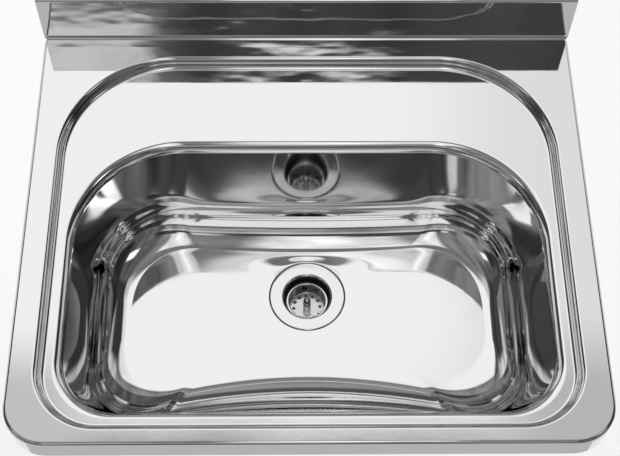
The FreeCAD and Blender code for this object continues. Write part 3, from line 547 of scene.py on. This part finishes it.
def apronStrip():
    # the deck's outer edge from the left back corner round the front to the right back corner
    radius, steps = pressing["frontCorner"], pressing["cornerSteps"]
    side, cornerLine, count = halfWidth, frontEdge + radius, pressing["deckSteps"]
    line = [((-side, y), (-1, 0)) for y in np.linspace(foldLine, cornerLine, count)[:-1]]
    for first, cx in ((180, -side + radius), (270, side - radius)):
        for step in range(steps + 1):
            turn = math.radians(first + 90 * step / steps)
            out = (math.cos(turn), math.sin(turn))
            line.append(((cx + radius * out[0], cornerLine + radius * out[1]), out))
        if cx < 0:
            stations = np.linspace(cx, -cx, pressing["frontSteps"])[1:-1]
            line += [((x, frontEdge), (0, -1)) for x in stations]
    line += [((side, y), (1, 0)) for y in np.linspace(cornerLine, foldLine, count)[1:]]
    edge = np.array([point for point, out in line])
    outward = np.array([out for point, out in line])
    bend, bends = pressing["apronRadius"], pressing["bendSteps"]
    rings, normals = [], []
    for step in range(bends + 1):
        turn = quarter * step / bends
        flat = edge - outward * (bend - bend * math.sin(turn))
        rings.append(np.column_stack([flat, np.full(len(flat), -bend * (1 - math.cos(turn)))]))
        normals.append(np.column_stack([outward * math.sin(turn), np.full(len(flat), math.cos(turn))]))
    for depth in (pressing["apronHeight"] * 0.5, pressing["apronHeight"]):
        rings.append(np.column_stack([edge, np.full(len(edge), -depth)]))
        normals.append(np.column_stack([outward, np.zeros(len(edge))]))
    return rings, normals


def upstandStrip():
    # the profile from the fold line up, over and down to the lip's end, as (y, z, normal y, normal z)
    fold, bend = pressing["foldRadius"], pressing["returnRadius"]
    top, bends = pressing["upstandHeight"], pressing["bendSteps"]
    profile = []
    for step in range(bends + 1):
        turn = quarter * step / bends
        profile.append((foldLine + fold * math.sin(turn), fold * (1 - math.cos(turn)),
                        -math.sin(turn), math.cos(turn)))
    for share in (0.25, 0.5, 0.75):
        profile.append((upstandFace, fold + share * (top - bend - fold), -1, 0))
    for cy, first in ((upstandFace + bend, 180), (-bend, 90)):
        for step in range(bends + 1):
            turn = math.radians(first - 90 * step / bends)
            profile.append((cy + bend * math.cos(turn), top - bend + bend * math.sin(turn),
                            math.cos(turn), math.sin(turn)))
    profile.append((0, top - pressing["returnLip"], 1, 0))
    return profile


def deckFaces(vertices, outside, inside):
    # even triangles between the deck's outline and the recess
    names = outside + inside
    flat = [Vector(vertices[name][:2]) for name in names]
    edges = []
    for start, count in ((0, len(outside)), (len(outside), len(inside))):
        edges += [(start + step, start + (step + 1) % count) for step in range(count)]
    triangles = delaunay_2d_cdt(flat, edges, [], 1, tiny)[2]
    return [tuple(names[corner] for corner in triangle) for triangle in triangles
            if any(corner < len(outside) for corner in triangle)]


def sheetSurface():
    # the upper side of the sheet: points, exact normals, and faces that look outwards
    vertices, normals, faces = [], [], []

    def keep(points, directions):
        start = len(vertices)
        vertices.extend(points.tolist())
        normals.extend(directions.tolist())
        return list(range(start, len(vertices)))

    dish = [keep(points, directions) for points, directions in zip(*dishSurface())]
    for outer, inner in zip(dish, dish[1:]):
        faces += band(outer, inner)
    apron = [keep(points, directions) for points, directions in zip(*apronStrip())]
    for upper, lower in zip(apron, apron[1:]):
        for index in range(len(upper) - 1):
            faces.append((upper[index], lower[index], lower[index + 1], upper[index + 1]))
    # the fold starts between the ends of the apron's bend and widens to the sheet's full width
    count = pressing["upstandSteps"] + 1
    stations = np.linspace(-1, 1, count)
    inner = halfWidth - pressing["apronRadius"]
    rows = []
    for number, (y, z, ny, nz) in enumerate(upstandStrip()):
        bent = quarter * min(number / pressing["bendSteps"], 1)
        width = inner + pressing["apronRadius"] * math.sin(bent)
        points = np.column_stack([stations * width, np.full(count, y), np.full(count, z)])
        directions = np.tile([0, ny, nz], (count, 1))
        if rows:
            rows.append(keep(points, directions))
        else:
            rows.append([apron[0][0], *keep(points[1:-1], directions[1:-1]), apron[0][-1]])
    for lower, upper in zip(rows, rows[1:]):
        faces += band(lower, upper, closed=False)
    faces += deckFaces(vertices, apron[0] + rows[0][-2:0:-1], dish[0])

    vertices, normals = np.array(vertices), np.array(normals)
    outward = []
    for face in faces:
        corners = vertices[list(face)]
        second = corners[-1] - corners[1] if len(face) == 4 else corners[2] - corners[1]
        facing = np.cross(corners[2] - corners[0], second)
        outward.append(face if facing @ normals[list(face)].sum(0) > 0 else face[::-1])
    return vertices, normals, outward


def pressedSheet():
    # the surface, the same surface a sheet's thickness below it, and the cut edges between them
    vertices, normals, faces = sheetSurface()
    count = len(vertices)
    both = np.concatenate([vertices, vertices - normals * pressing["sheet"]]) * mm
    both[:, 2] += deckLevel
    edges = dict.fromkeys(pair for face in faces for pair in zip(face, face[1:] + face[:1]))
    under = [tuple(index + count for index in face[::-1]) for face in faces]
    cuts = [(end, start, start + count, end + count) for start, end in edges
            if (end, start) not in edges]
    mesh = bpy.data.meshes.new("pressedSheet")
    mesh.from_pydata([tuple(point) for point in both], [], faces + under + cuts)
    mesh.update()
    finishPiece("pressedSheet", mesh, basinBody, "basin_pressing", "polished_sheet")
    mesh.materials.append(finish["millSteel"])
    cornerNormals = []
    pointNormals = np.concatenate([normals, -normals])
    for polygon in mesh.polygons:
        side = polygon.index // len(faces)      # 0 above, 1 below, more on a cut edge
        polygon.material_index = 1 if side == 1 else 0
        for corner in polygon.vertices:
            cornerNormals.append(tuple(polygon.normal if side > 1 else pointNormals[corner]))
    mesh.normals_split_custom_set(cornerNormals)


pressedSheet()
print("sheet pressed")

waste = {"flange": 36.3, "flangeHeight": 1.8, "flangeRound": 0.9, "underRound": 0.3, "dish": 0.6,
         "dishEdge": 3, "mouth": 22.6, "mouthRound": 2.2, "ledge": 12, "ledgeRound": 0.5, "throat": 19,
         "tail": 23.9, "tailRoot": 22.9, "tailEnd": 62, "tailBevel": 0.7, "shoulder": 9, "bevel": 0.4,
         # the thread stops short on either side of a relief groove
         "pitch": 2.309, "threads": ((-60.4, -38.6), (-34.4, -10.2)),
         "spider": (-45, -40), "hub": 6.2, "hubBore": 3.3, "arm": 3, "armReach": 0.6}
wasteAxis = Vector((0, wasteY * mm, wasteHigh.z))


def wasteProfile():
    flange, mouth, throat, tail = [waste[name] for name in ("flange", "mouth", "throat", "tail")]
    height, small, edge = waste["flangeHeight"], waste["underRound"], waste["flangeRound"]
    lip, ledge, inner = waste["mouthRound"], waste["ledge"], waste["ledgeRound"]
    root, end, shoulder = waste["tailRoot"], waste["tailEnd"], waste["shoulder"]
    bevel, tailBevel = waste["bevel"], waste["tailBevel"]
    return ([(throat, -end + bevel), (throat + bevel, -end), (root - tailBevel, -end),
             (root, -end + tailBevel), (root, -shoulder - bevel), (tail, -shoulder), (tail, -height)]
            + rounding(flange - small, -height + small, small, -90, 0, 3)
            + rounding(flange - edge, -edge, edge, 0, 90, 8) + [(flange - waste["dishEdge"], 0.0)]
            + rounding(mouth + lip, -lip - waste["dish"], lip, 86, 180, 10)
            + [(mouth, -ledge + inner)] + rounding(mouth - inner, -ledge + inner, inner, 0, -90, 4)
            + rounding(throat + inner, -ledge - inner, inner, 90, 180, 4))


def slab(loops, low, high):
    # flat outlines, the first outside and the others as holes, given a thickness
    flat = [[Vector((x, y, 0)) for x, y in loop] for loop in loops]
    points = [point for loop in loops for point in loop]
    count = len(points)
    triangles = tessellate_polygon(flat)
    vertices = [(x, y, low) for x, y in points] + [(x, y, high) for x, y in points]
    faces = [tuple(triangle) for triangle in triangles]
    faces += [tuple(corner + count for corner in triangle) for triangle in triangles]
    start = 0
    for loop in loops:
        end = start + len(loop)
        faces += band(range(start, end), range(start + count, end + count))
        start = end
    return vertices, faces


def spiderShape():
    # a hub with a bore and three arms that reach into the wall
    low, high = waste["spider"]
    hub, half, reach = waste["hub"], waste["arm"] / 2, waste["throat"] + waste["armReach"]
    start = math.asin(half / hub)
    outline = []
    for number in range(3):
        turn = 2 * math.pi * number / 3
        for across, up in ((reach, -half), (reach, half)):
            outline.append((across * math.cos(turn) - up * math.sin(turn),
                            across * math.sin(turn) + up * math.cos(turn)))
        for step in range(9):
            swing = turn + start + (2 * math.pi / 3 - 2 * start) * step / 8
            outline.append((hub * math.cos(swing), hub * math.sin(swing)))
    return slab([outline, circle(0, 0, waste["hubBore"], 32)], low, high)


def paint(piece, material, wanted):
    # a second finish, or painted shade, on the faces whose middle and normal pass a test
    # the middle is in millimetres from the top of the waste
    piece.data.materials.append(material)
    for polygon in piece.data.polygons:
        middle = (polygon.center - wasteAxis) / mm
        if wanted(middle, polygon.normal):
            polygon.material_index = len(piece.data.materials) - 1


tailThreads = [threadRidge(waste["tailRoot"], waste["tail"], waste["pitch"], low, high)
               for low, high in waste["threads"]]
basketWaste = makePiece("basketWaste", [turned(wasteProfile()), spiderShape(), *tailThreads],
                        [wasteAxis], basinBody, "waste_body", "turned_steel")
wellTop = -waste["mouthRound"] - 0.2
# painted shade: the waste's well below the mouth's rounding, and its throat, are coloured dark
paint(basketWaste, finish["dullSteelPaintedShade"], lambda middle, normal:
      middle.z < wellTop and math.hypot(middle.x, middle.y) < waste["mouth"] + 0.1)

# each ring: outer radius, bottom, top and rounded edge; the nut: flats, bottom, top and crown
clamp = {"bore": 24.05, "seal": (35.5, -3.38, -1.8, 0.4), "gasket": (34, -7.6, -4.6, 0.8),
         "slip": (34, -9.1, -7.6, 0.25), "nut": (62, -18.1, -9.1, 0.6)}


def roundedRing(inner, outer, low, high, edge):
    return turned(rounding(inner + edge, low + edge, edge, 180, 270, 3)
                  + rounding(outer - edge, low + edge, edge, -90, 0, 4)
                  + rounding(outer - edge, high - edge, edge, 0, 90, 4)
                  + rounding(inner + edge, high - edge, edge, 90, 180, 3))


makePiece("flangeSeal", [roundedRing(clamp["bore"], *clamp["seal"])], [wasteAxis],
          basinBody, "flange_seal", "black_rubber")
makePiece("lowerGasket", [roundedRing(clamp["bore"], *clamp["gasket"])], [wasteAxis],
          basinBody, "lower_gasket", "black_rubber")
makePiece("slipWasher", [roundedRing(clamp["bore"], *clamp["slip"])], [wasteAxis],
          basinBody, "slip_washer", "white_nylon")
flats, low, high, crown = clamp["nut"]
makePiece("backNut", [hexagonNut(flats, clamp["bore"], low, high, crown, 96)], [wasteAxis],
          basinBody, "back_nut", "nut_brass")
print("waste made")

strainer = {"rim": 20.4, "rimLevel": -10.1, "rimRound": 0.45, "rimUnder": 0.3, "outer": 18.6,
            "taper": 0.3, "sheet": 0.8, "depth": 15, "innerRound": 0.5, "innerDrop": 0.6,
            "holes": 12, "hole": 1.72, "holeRing": 12.98, "holeTurn": 4.2, "stemHole": 3.3,
            "seal": 0.9, "sealGap": 0.05, "sealRound": 0.3,
            "post": 3.8, "postHeight": 9.6, "postRound": 1.2, "postFoot": 0.2, "neck": 1.9,
            "neckRound": 0.3, "knob": 3.6, "knobHeight": 14.5,
            "stem": 3, "stemEnd": -48, "stemBevel": 0.5,
            # washer: bore, outer radius, thickness, rounded edge; nut: flats, bore, height
            "washer": (3.1, 7, 1, 0.2), "nut": (10, 3.1, 4)}
plateLevel = strainer["rimLevel"] - strainer["depth"]
underPlate = plateLevel - strainer["sheet"]


def cupShape(steps=96):
    # the turned cup without its plate, then the plate with its drilled holes
    rim, outer, sheet = strainer["rim"], strainer["outer"], strainer["sheet"]
    top, base = strainer["rimLevel"], strainer["outer"] - strainer["taper"]
    bend, drop = strainer["innerRound"], strainer["innerDrop"]
    edge, under = strainer["rimRound"], strainer["rimUnder"]
    inside = ([(base - 2 * sheet, plateLevel)]
              + rounding(base - 2 * sheet, plateLevel + sheet, sheet, -80, 0, 6)
              + [(outer - sheet, top - drop - bend)]
              + rounding(outer - sheet + bend, top - drop, bend, 180, 100, 4)
              + [(outer + drop, top)] + rounding(rim - edge, top - edge, edge, 80, 0, 4)
              + rounding(rim - under, top - sheet + under, under, 0, -90, 3)
              + [(outer, top - sheet), (outer, top - sheet - under)]
              + rounding(base - 2 * sheet, plateLevel + sheet, 2 * sheet, 0, -84, 8)
              + [(base - 2 * sheet, underPlate)])
    vertices, faces = turned(inside, steps)
    faces = faces[:-steps]
    first, last = list(range(steps)), list(range(len(vertices) - steps, len(vertices)))
    loops, names = [[Vector((x, y, 0)) for x, y, z in vertices[:steps]]], [(first, last)]
    drills = [(0, 0, strainer["stemHole"], 32)]
    for number in range(strainer["holes"]):
        turn = math.radians(strainer["holeTurn"] + 360 * number / strainer["holes"])
        drills.append((strainer["holeRing"] * math.cos(turn), strainer["holeRing"] * math.sin(turn),
                       strainer["hole"], 24))
    for cx, cy, radius, count in drills:
        loop = circle(cx, cy, radius, count)
        upper = list(range(len(vertices), len(vertices) + count))
        lower = [name + count for name in upper]
        vertices += [(x, y, plateLevel) for x, y in loop] + [(x, y, underPlate) for x, y in loop]
        loops.append([Vector((x, y, 0)) for x, y in loop])
        names.append((upper, lower))
        faces += band(upper, lower)
    for side in (0, 1):
        named = [name for pair in names for name in pair[side]]
        faces += [tuple(named[corner] for corner in triangle) for triangle in tessellate_polygon(loops)]
    return vertices, faces


strainerCup = makePiece("strainerCup", [cupShape()], [wasteAxis], strainerBody,
                        "strainer_cup", "turned_steel", 28)
wallLow, wallHigh = plateLevel + 0.1, strainer["rimLevel"] - strainer["sheet"]
paint(strainerCup, finish["satinSteel"], lambda middle, normal: normal.z > 0.95 and middle.z < wallLow)
# painted shade: the cup's inner wall between the plate and the rim is coloured dark
paint(strainerCup, finish["paintedShadeWallSteel"], lambda middle, normal: normal.z < 0.8
      and wallLow < middle.z < wallHigh and middle.x * normal.x + middle.y * normal.y < 0)
# painted shade: the plate's underside and the walls of its holes are coloured dark
paint(strainerCup, finish["dullSteelPaintedShade"], lambda middle, normal:
      middle.z < underPlate + 0.2 or (abs(normal.z) < 0.1 and middle.z < plateLevel))
gap, edge = strainer["sealGap"], strainer["sealRound"]
makePiece("cupSeal", [roundedRing(strainer["outer"] + gap, strainer["rim"] - gap,
                                  wallHigh - strainer["seal"], wallHigh, edge)],
          [wasteAxis], strainerBody, "cup_seal", "black_rubber")

postTop = plateLevel + strainer["postHeight"]
knobLevel = plateLevel + strainer["knobHeight"]
stem, end, bevel = strainer["stem"], strainer["stemEnd"], strainer["stemBevel"]
post, shoulder, foot = strainer["post"], strainer["postRound"], strainer["postFoot"]
neck, bend, knob = strainer["neck"], strainer["neckRound"], strainer["knob"]
neckEnd = knobLevel - math.sqrt(knob ** 2 - neck ** 2)
postProfile = ([(0, end), (stem - bevel, end), (stem, end + bevel), (stem, plateLevel),
                (post - foot, plateLevel), (post, plateLevel + foot)]
               + rounding(post - shoulder, postTop - shoulder, shoulder, 0, 90, 8)
               + [(neck + bend, postTop)] + rounding(neck + bend, postTop + bend, bend, -90, -180, 3)
               + [(neck, neckEnd), (0, neckEnd)])
makePiece("strainerPost", [turned(postProfile, 64)], [wasteAxis], strainerBody,
          "strainer_post", "turned_steel")
knobStart = math.degrees(math.asin((neckEnd - knobLevel) / knob))
ball = rounding(0, knobLevel, knob, knobStart, 90, 24)
ball[-1] = (0, knobLevel + knob)
makePiece("strainerKnob", [turned([(0, neckEnd)] + ball, 64)], [wasteAxis], strainerBody,
          "strainer_knob", "turned_steel", 60)
bore, outer, height, edge = strainer["washer"]
washerEnd = underPlate - height
makePiece("postWasher", [roundedRing(bore, outer, washerEnd, underPlate, edge)], [wasteAxis],
          strainerBody, "post_washer", "turned_steel")
flats, bore, height = strainer["nut"]
makePiece("postNut", [hexagonNut(flats, bore, washerEnd - height, washerEnd)], [wasteAxis],
          strainerBody, "post_nut", "turned_steel")
print("strainer made")

studs = {"radius": 3, "root": 2.55, "rootBevel": (0.4, 0.5), "pitch": 1, "bracket": 3, "runOut": 0.4,
         # the thread stops short of the stud's end and of its plain neck
         "threadEnd": 0.8, "threadTop": -3.9,
         # washer: bore, outer radius, thickness, rounded edge; spring: bore, outer radius, height, wire
         "washer": (3.4, 6, 1.2, 0.2), "spring": (3.1, 5, 1.6, 1.15), "nut": (10, 3.1, 5)}
studLow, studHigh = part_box("deck_studs")
radius, root, neckLevel = studs["radius"], studs["root"], -studs["bracket"]
reach = studHigh.x - radius * mm
places = [Vector((sign * reach, level, studHigh.z)) for sign in (1, -1)
          for level in (studHigh.y - radius * mm, studLow.y + radius * mm)]
length = (studHigh.z - studLow.z) / mm
bevelIn, bevelUp = studs["rootBevel"]
studProfile = [(0, -length), (root - bevelIn, -length), (root, -length + bevelUp),
               (root, neckLevel - studs["runOut"]), (radius, neckLevel), (radius, 0), (0, 0)]
studThread = threadRidge(root, radius, studs["pitch"], -length + studs["threadEnd"],
                         studs["threadTop"], 28)
makePiece("deckStuds", [turned(studProfile, 40), studThread], places, basinBody,
          "deck_studs", "turned_steel")
bore, outer, height, edge = studs["washer"]
springTop = neckLevel - height
makePiece("studWashers", [roundedRing(bore, outer, springTop, neckLevel, edge)], places, basinBody,
          "stud_washers", "plated_steel")
bore, outer, height, wire = studs["spring"]
nutTop = springTop - height
makePiece("springWashers", [splitRing(bore, outer, nutTop, springTop, wire)], places, basinBody,
          "spring_washers", "plated_steel")
flats, bore, height = studs["nut"]
makePiece("studNuts", [hexagonNut(flats, bore, nutTop - height, nutTop)], places, basinBody,
          "stud_nuts", "plated_steel")
print("fixings made")

stage = {"floorLevel": -0.75, "floorSize": 12, "floorTone": 0.97, "floorRoughness": 0.8, "ambient": 0.68,
         "domeCentre": (0, -0.2, 0), "domeRadius": 14, "roomTone": 0.1,
         "streaks": (0.65, 1.45), "streakScale": (8, 1.5, 1), "streakDetail": 3,
         # each panel: sideways from and to, rise from and to (0 behind, 90 above, 180 in front) and
         # the softness of its edge, all in degrees, and its tone; a later panel covers an earlier one
         "panels": [
             # broad tones of the room, to the sides, above and behind
             (-62, -14, 88, 152, 8, 0.26), (-72, -44, 84, 112, 4, 0.035), (15, 46, 96, 152, 8, 0.12),
             (43, 95, 40, 130, 6, 0.022), (-95, -58, 40, 112, 7, 0.04), (-85, -24, -28, 50, 4, 0.6),
             (24, 85, -28, 50, 4, 0.55), (-24, 24, -28, 42, 4, 0.25), (-60, -17, 54, 73, 2, 0.05),
             (17, 60, 54, 73, 2, 0.035), (-20, 16, 68, 124, 4, 0.2),
             # a bright strip overhead, then bands in front
             (-3, 7.5, 84, 127, 1.5, 0.92), (-20, 18, 132.5, 138.5, 1.2, 0.5),
             (-14, 14, 139, 149, 3, 0.3), (-5, 22, 125.5, 131.8, 1.2, 0.05), (4, 22, 121, 130, 2, 0.05),
             (-20, -9, 121, 132, 2, 0.12), (-12.5, -7, 123.5, 129, 1, 0.6),
             # a small bright lamp on each side, and a dark patch
             (29, 42, 92, 103, 2, 1.2), (-43, -34.6, 92, 101, 0.8, 1.2), (-46, -28, 129, 144, 4, 0.06)],
         # the light that the deck and the bowl's floor mirror; it has no streaks
         "whitePanels": [(-16, 16, 44, 70.5, 1.8, 1.0), (8, 18, 46, 70, 4, 0.82),
                         (-19, -10, 66.8, 74, 1.8, 0.6), (10.5, 19, 66.5, 74, 1.8, 0.53)],
         # left front corner, right back corner, height above the floor, tone
         "apronCard": ((-1.6, -2.4), (1.6, -0.5), 0.05, 0.5),
         # each lamp: place, aim, size, power
         "lamps": [((-1.3, 0.9, 2.1), (0, -0.2, 0), 1.6, 26), ((1.5, 0.3, 1.9), (0, -0.2, 0), 1.4, 14)]}


def stageObject(name, vertices, faces, material):
    mesh = bpy.data.meshes.new(name)
    mesh.from_pydata(vertices, [], faces)
    mesh.materials.append(material)
    thing = bpy.data.objects.new(name, mesh)
    bpy.context.scene.collection.objects.link(thing)
    return thing


def stageRectangle(name, left, front, right, back, level, material):
    corners = [(left, front, level), (right, front, level), (right, back, level), (left, back, level)]
    return stageObject(name, corners, [(0, 1, 2, 3)], material)


def glowing(name):
    # a material that only glows, and its emission node
    material = bpy.data.materials.new(name)
    material.use_nodes = True
    nodes, links = material.node_tree.nodes, material.node_tree.links
    nodes.remove(nodes["Principled BSDF"])
    glow = nodes.new("ShaderNodeEmission")
    links.new(glow.outputs["Emission"], nodes["Material Output"].inputs["Surface"])
    return material, nodes, links, glow


def mirrorOnly(thing):
    # seen in reflections, and by nothing else
    thing.visible_camera = False
    thing.visible_diffuse = False
    thing.visible_shadow = False


def edgeOf(nodes, links, angle, start, end):
    # rises softly from 0 to 1 between two angles in degrees, and falls when the first is the greater
    low, high = sorted((start, end))
    ramp = nodes.new("ShaderNodeMapRange")
    ramp.interpolation_type = "SMOOTHSTEP"
    ramp.inputs["From Min"].default_value = math.radians(low)
    ramp.inputs["From Max"].default_value = math.radians(high)
    ramp.inputs["To Min"].default_value = float(start > end)
    ramp.inputs["To Max"].default_value = float(start < end)
    links.new(angle, ramp.inputs["Value"])
    return ramp.outputs["Result"]


def panelOf(nodes, links, sideways, rise, tone, panel):
    # a soft-edged panel painted over the tone so far
    left, right, low, high, soft, value = panel
    mask = edgeOf(nodes, links, sideways, left - soft, left + soft)
    for angle, start, end in ((sideways, right + soft, right - soft), (rise, low - soft, low + soft),
                              (rise, high + soft, high - soft)):
        mask = mathOf(nodes, links, "MULTIPLY", mask, edgeOf(nodes, links, angle, start, end))
    mixed = nodes.new("ShaderNodeMix")
    mixed.data_type = "FLOAT"
    mixed.inputs["B"].default_value = value
    links.new(mask, mixed.inputs["Factor"])
    links.new(tone, mixed.inputs["A"])
    return mixed.outputs["Result"]


def domeLight():
    # the angle sideways and the rise over the basin place soft panels on the dome
    material, nodes, links, glow = glowing("domeLight")
    place = nodes.new("ShaderNodeTexCoord")
    unit = nodes.new("ShaderNodeVectorMath")
    unit.operation = "NORMALIZE"
    parts = nodes.new("ShaderNodeSeparateXYZ")
    links.new(place.outputs["Object"], unit.inputs[0])
    links.new(unit.outputs["Vector"], parts.inputs["Vector"])
    sideways = mathOf(nodes, links, "ARCSINE", parts.outputs["X"])
    rise = mathOf(nodes, links, "ARCTAN2", parts.outputs["Z"], parts.outputs["Y"])

    room = nodes.new("ShaderNodeValue")
    room.outputs[0].default_value = stage["roomTone"]
    tone = room.outputs[0]
    for panel in stage["panels"]:
        tone = panelOf(nodes, links, sideways, rise, tone, panel)
    angles = nodes.new("ShaderNodeCombineXYZ")
    links.new(sideways, angles.inputs["X"])
    links.new(rise, angles.inputs["Y"])
    stretched = nodes.new("ShaderNodeMapping")
    stretched.inputs["Scale"].default_value = stage["streakScale"]
    links.new(angles.outputs["Vector"], stretched.inputs["Vector"])
    noise = nodes.new("ShaderNodeTexNoise")
    noise.inputs["Scale"].default_value = 1
    noise.inputs["Detail"].default_value = stage["streakDetail"]
    links.new(stretched.outputs["Vector"], noise.inputs["Vector"])
    streaks = rangeOf(nodes, links, noise.outputs["Fac"], *stage["streaks"])
    tone = mathOf(nodes, links, "MULTIPLY", tone, streaks)
    for panel in stage["whitePanels"]:
        tone = panelOf(nodes, links, sideways, rise, tone, panel)
    links.new(tone, glow.inputs["Color"])
    return material


def studioDome(steps=48):
    radius = stage["domeRadius"]
    vertices, faces = [], []
    for up in range(steps // 2 + 1):
        level = math.pi * (up / (steps // 2) - 0.5)
        vertices += [(x, y, radius * math.sin(level))
                     for x, y in circle(0, 0, radius * math.cos(level), steps)]
    for start in range(0, steps // 2 * steps, steps):
        faces += band(range(start, start + steps), range(start + steps, start + 2 * steps))
    dome = stageObject("studioDome", vertices, faces, domeLight())
    dome.location = stage["domeCentre"]
    mirrorOnly(dome)


def apronCard():
    # a grey card above the floor, mirrored by the apron
    (left, front), (right, back), height, tone = stage["apronCard"]
    material, nodes, links, glow = glowing("cardLight")
    glow.inputs["Color"].default_value = (tone, tone, tone, 1)
    level = stage["floorLevel"] + height
    mirrorOnly(stageRectangle("apronCard", left, front, right, back, level, material))


def softLamp(number, spot, aim, size, power):
    light = bpy.data.lights.new("softLamp%d" % number, "AREA")
    light.size = size
    light.energy = power
    lamp = bpy.data.objects.new("softLamp%d" % number, light)
    lamp.location = spot
    lamp.rotation_mode = "QUATERNION"
    lamp.rotation_quaternion = (Vector(aim) - Vector(spot)).to_track_quat("-Z", "Y")
    lamp.visible_glossy = False
    bpy.context.scene.collection.objects.link(lamp)


def studioWorld():
    # white for the camera and in reflections, softer as a light
    world = bpy.data.worlds.new("studio")
    bpy.context.scene.world = world
    world.use_nodes = True
    nodes, links = world.node_tree.nodes, world.node_tree.links
    background = nodes["Background"]
    background.inputs["Color"].default_value = (1, 1, 1, 1)
    ray = nodes.new("ShaderNodeLightPath")
    seen = ray.outputs["Is Camera Ray"]
    for kind in ("Is Glossy Ray", "Is Transmission Ray"):
        seen = mathOf(nodes, links, "MAXIMUM", seen, ray.outputs[kind])
    links.new(rangeOf(nodes, links, seen, stage["ambient"], 1, 0, 1), background.inputs["Strength"])


floorWhite = newMaterial("floorWhite", (stage["floorTone"],) * 3, 0, stage["floorRoughness"])[0]
reach = stage["floorSize"] / 2
stageRectangle("studioFloor", -reach, -reach, reach, reach, stage["floorLevel"], floorWhite)
studioDome()
apronCard()
for number, lamp in enumerate(stage["lamps"]):
    softLamp(number, *lamp)
studioWorld()
bpy.context.scene.view_settings.view_transform = "Standard"
print("stage set")
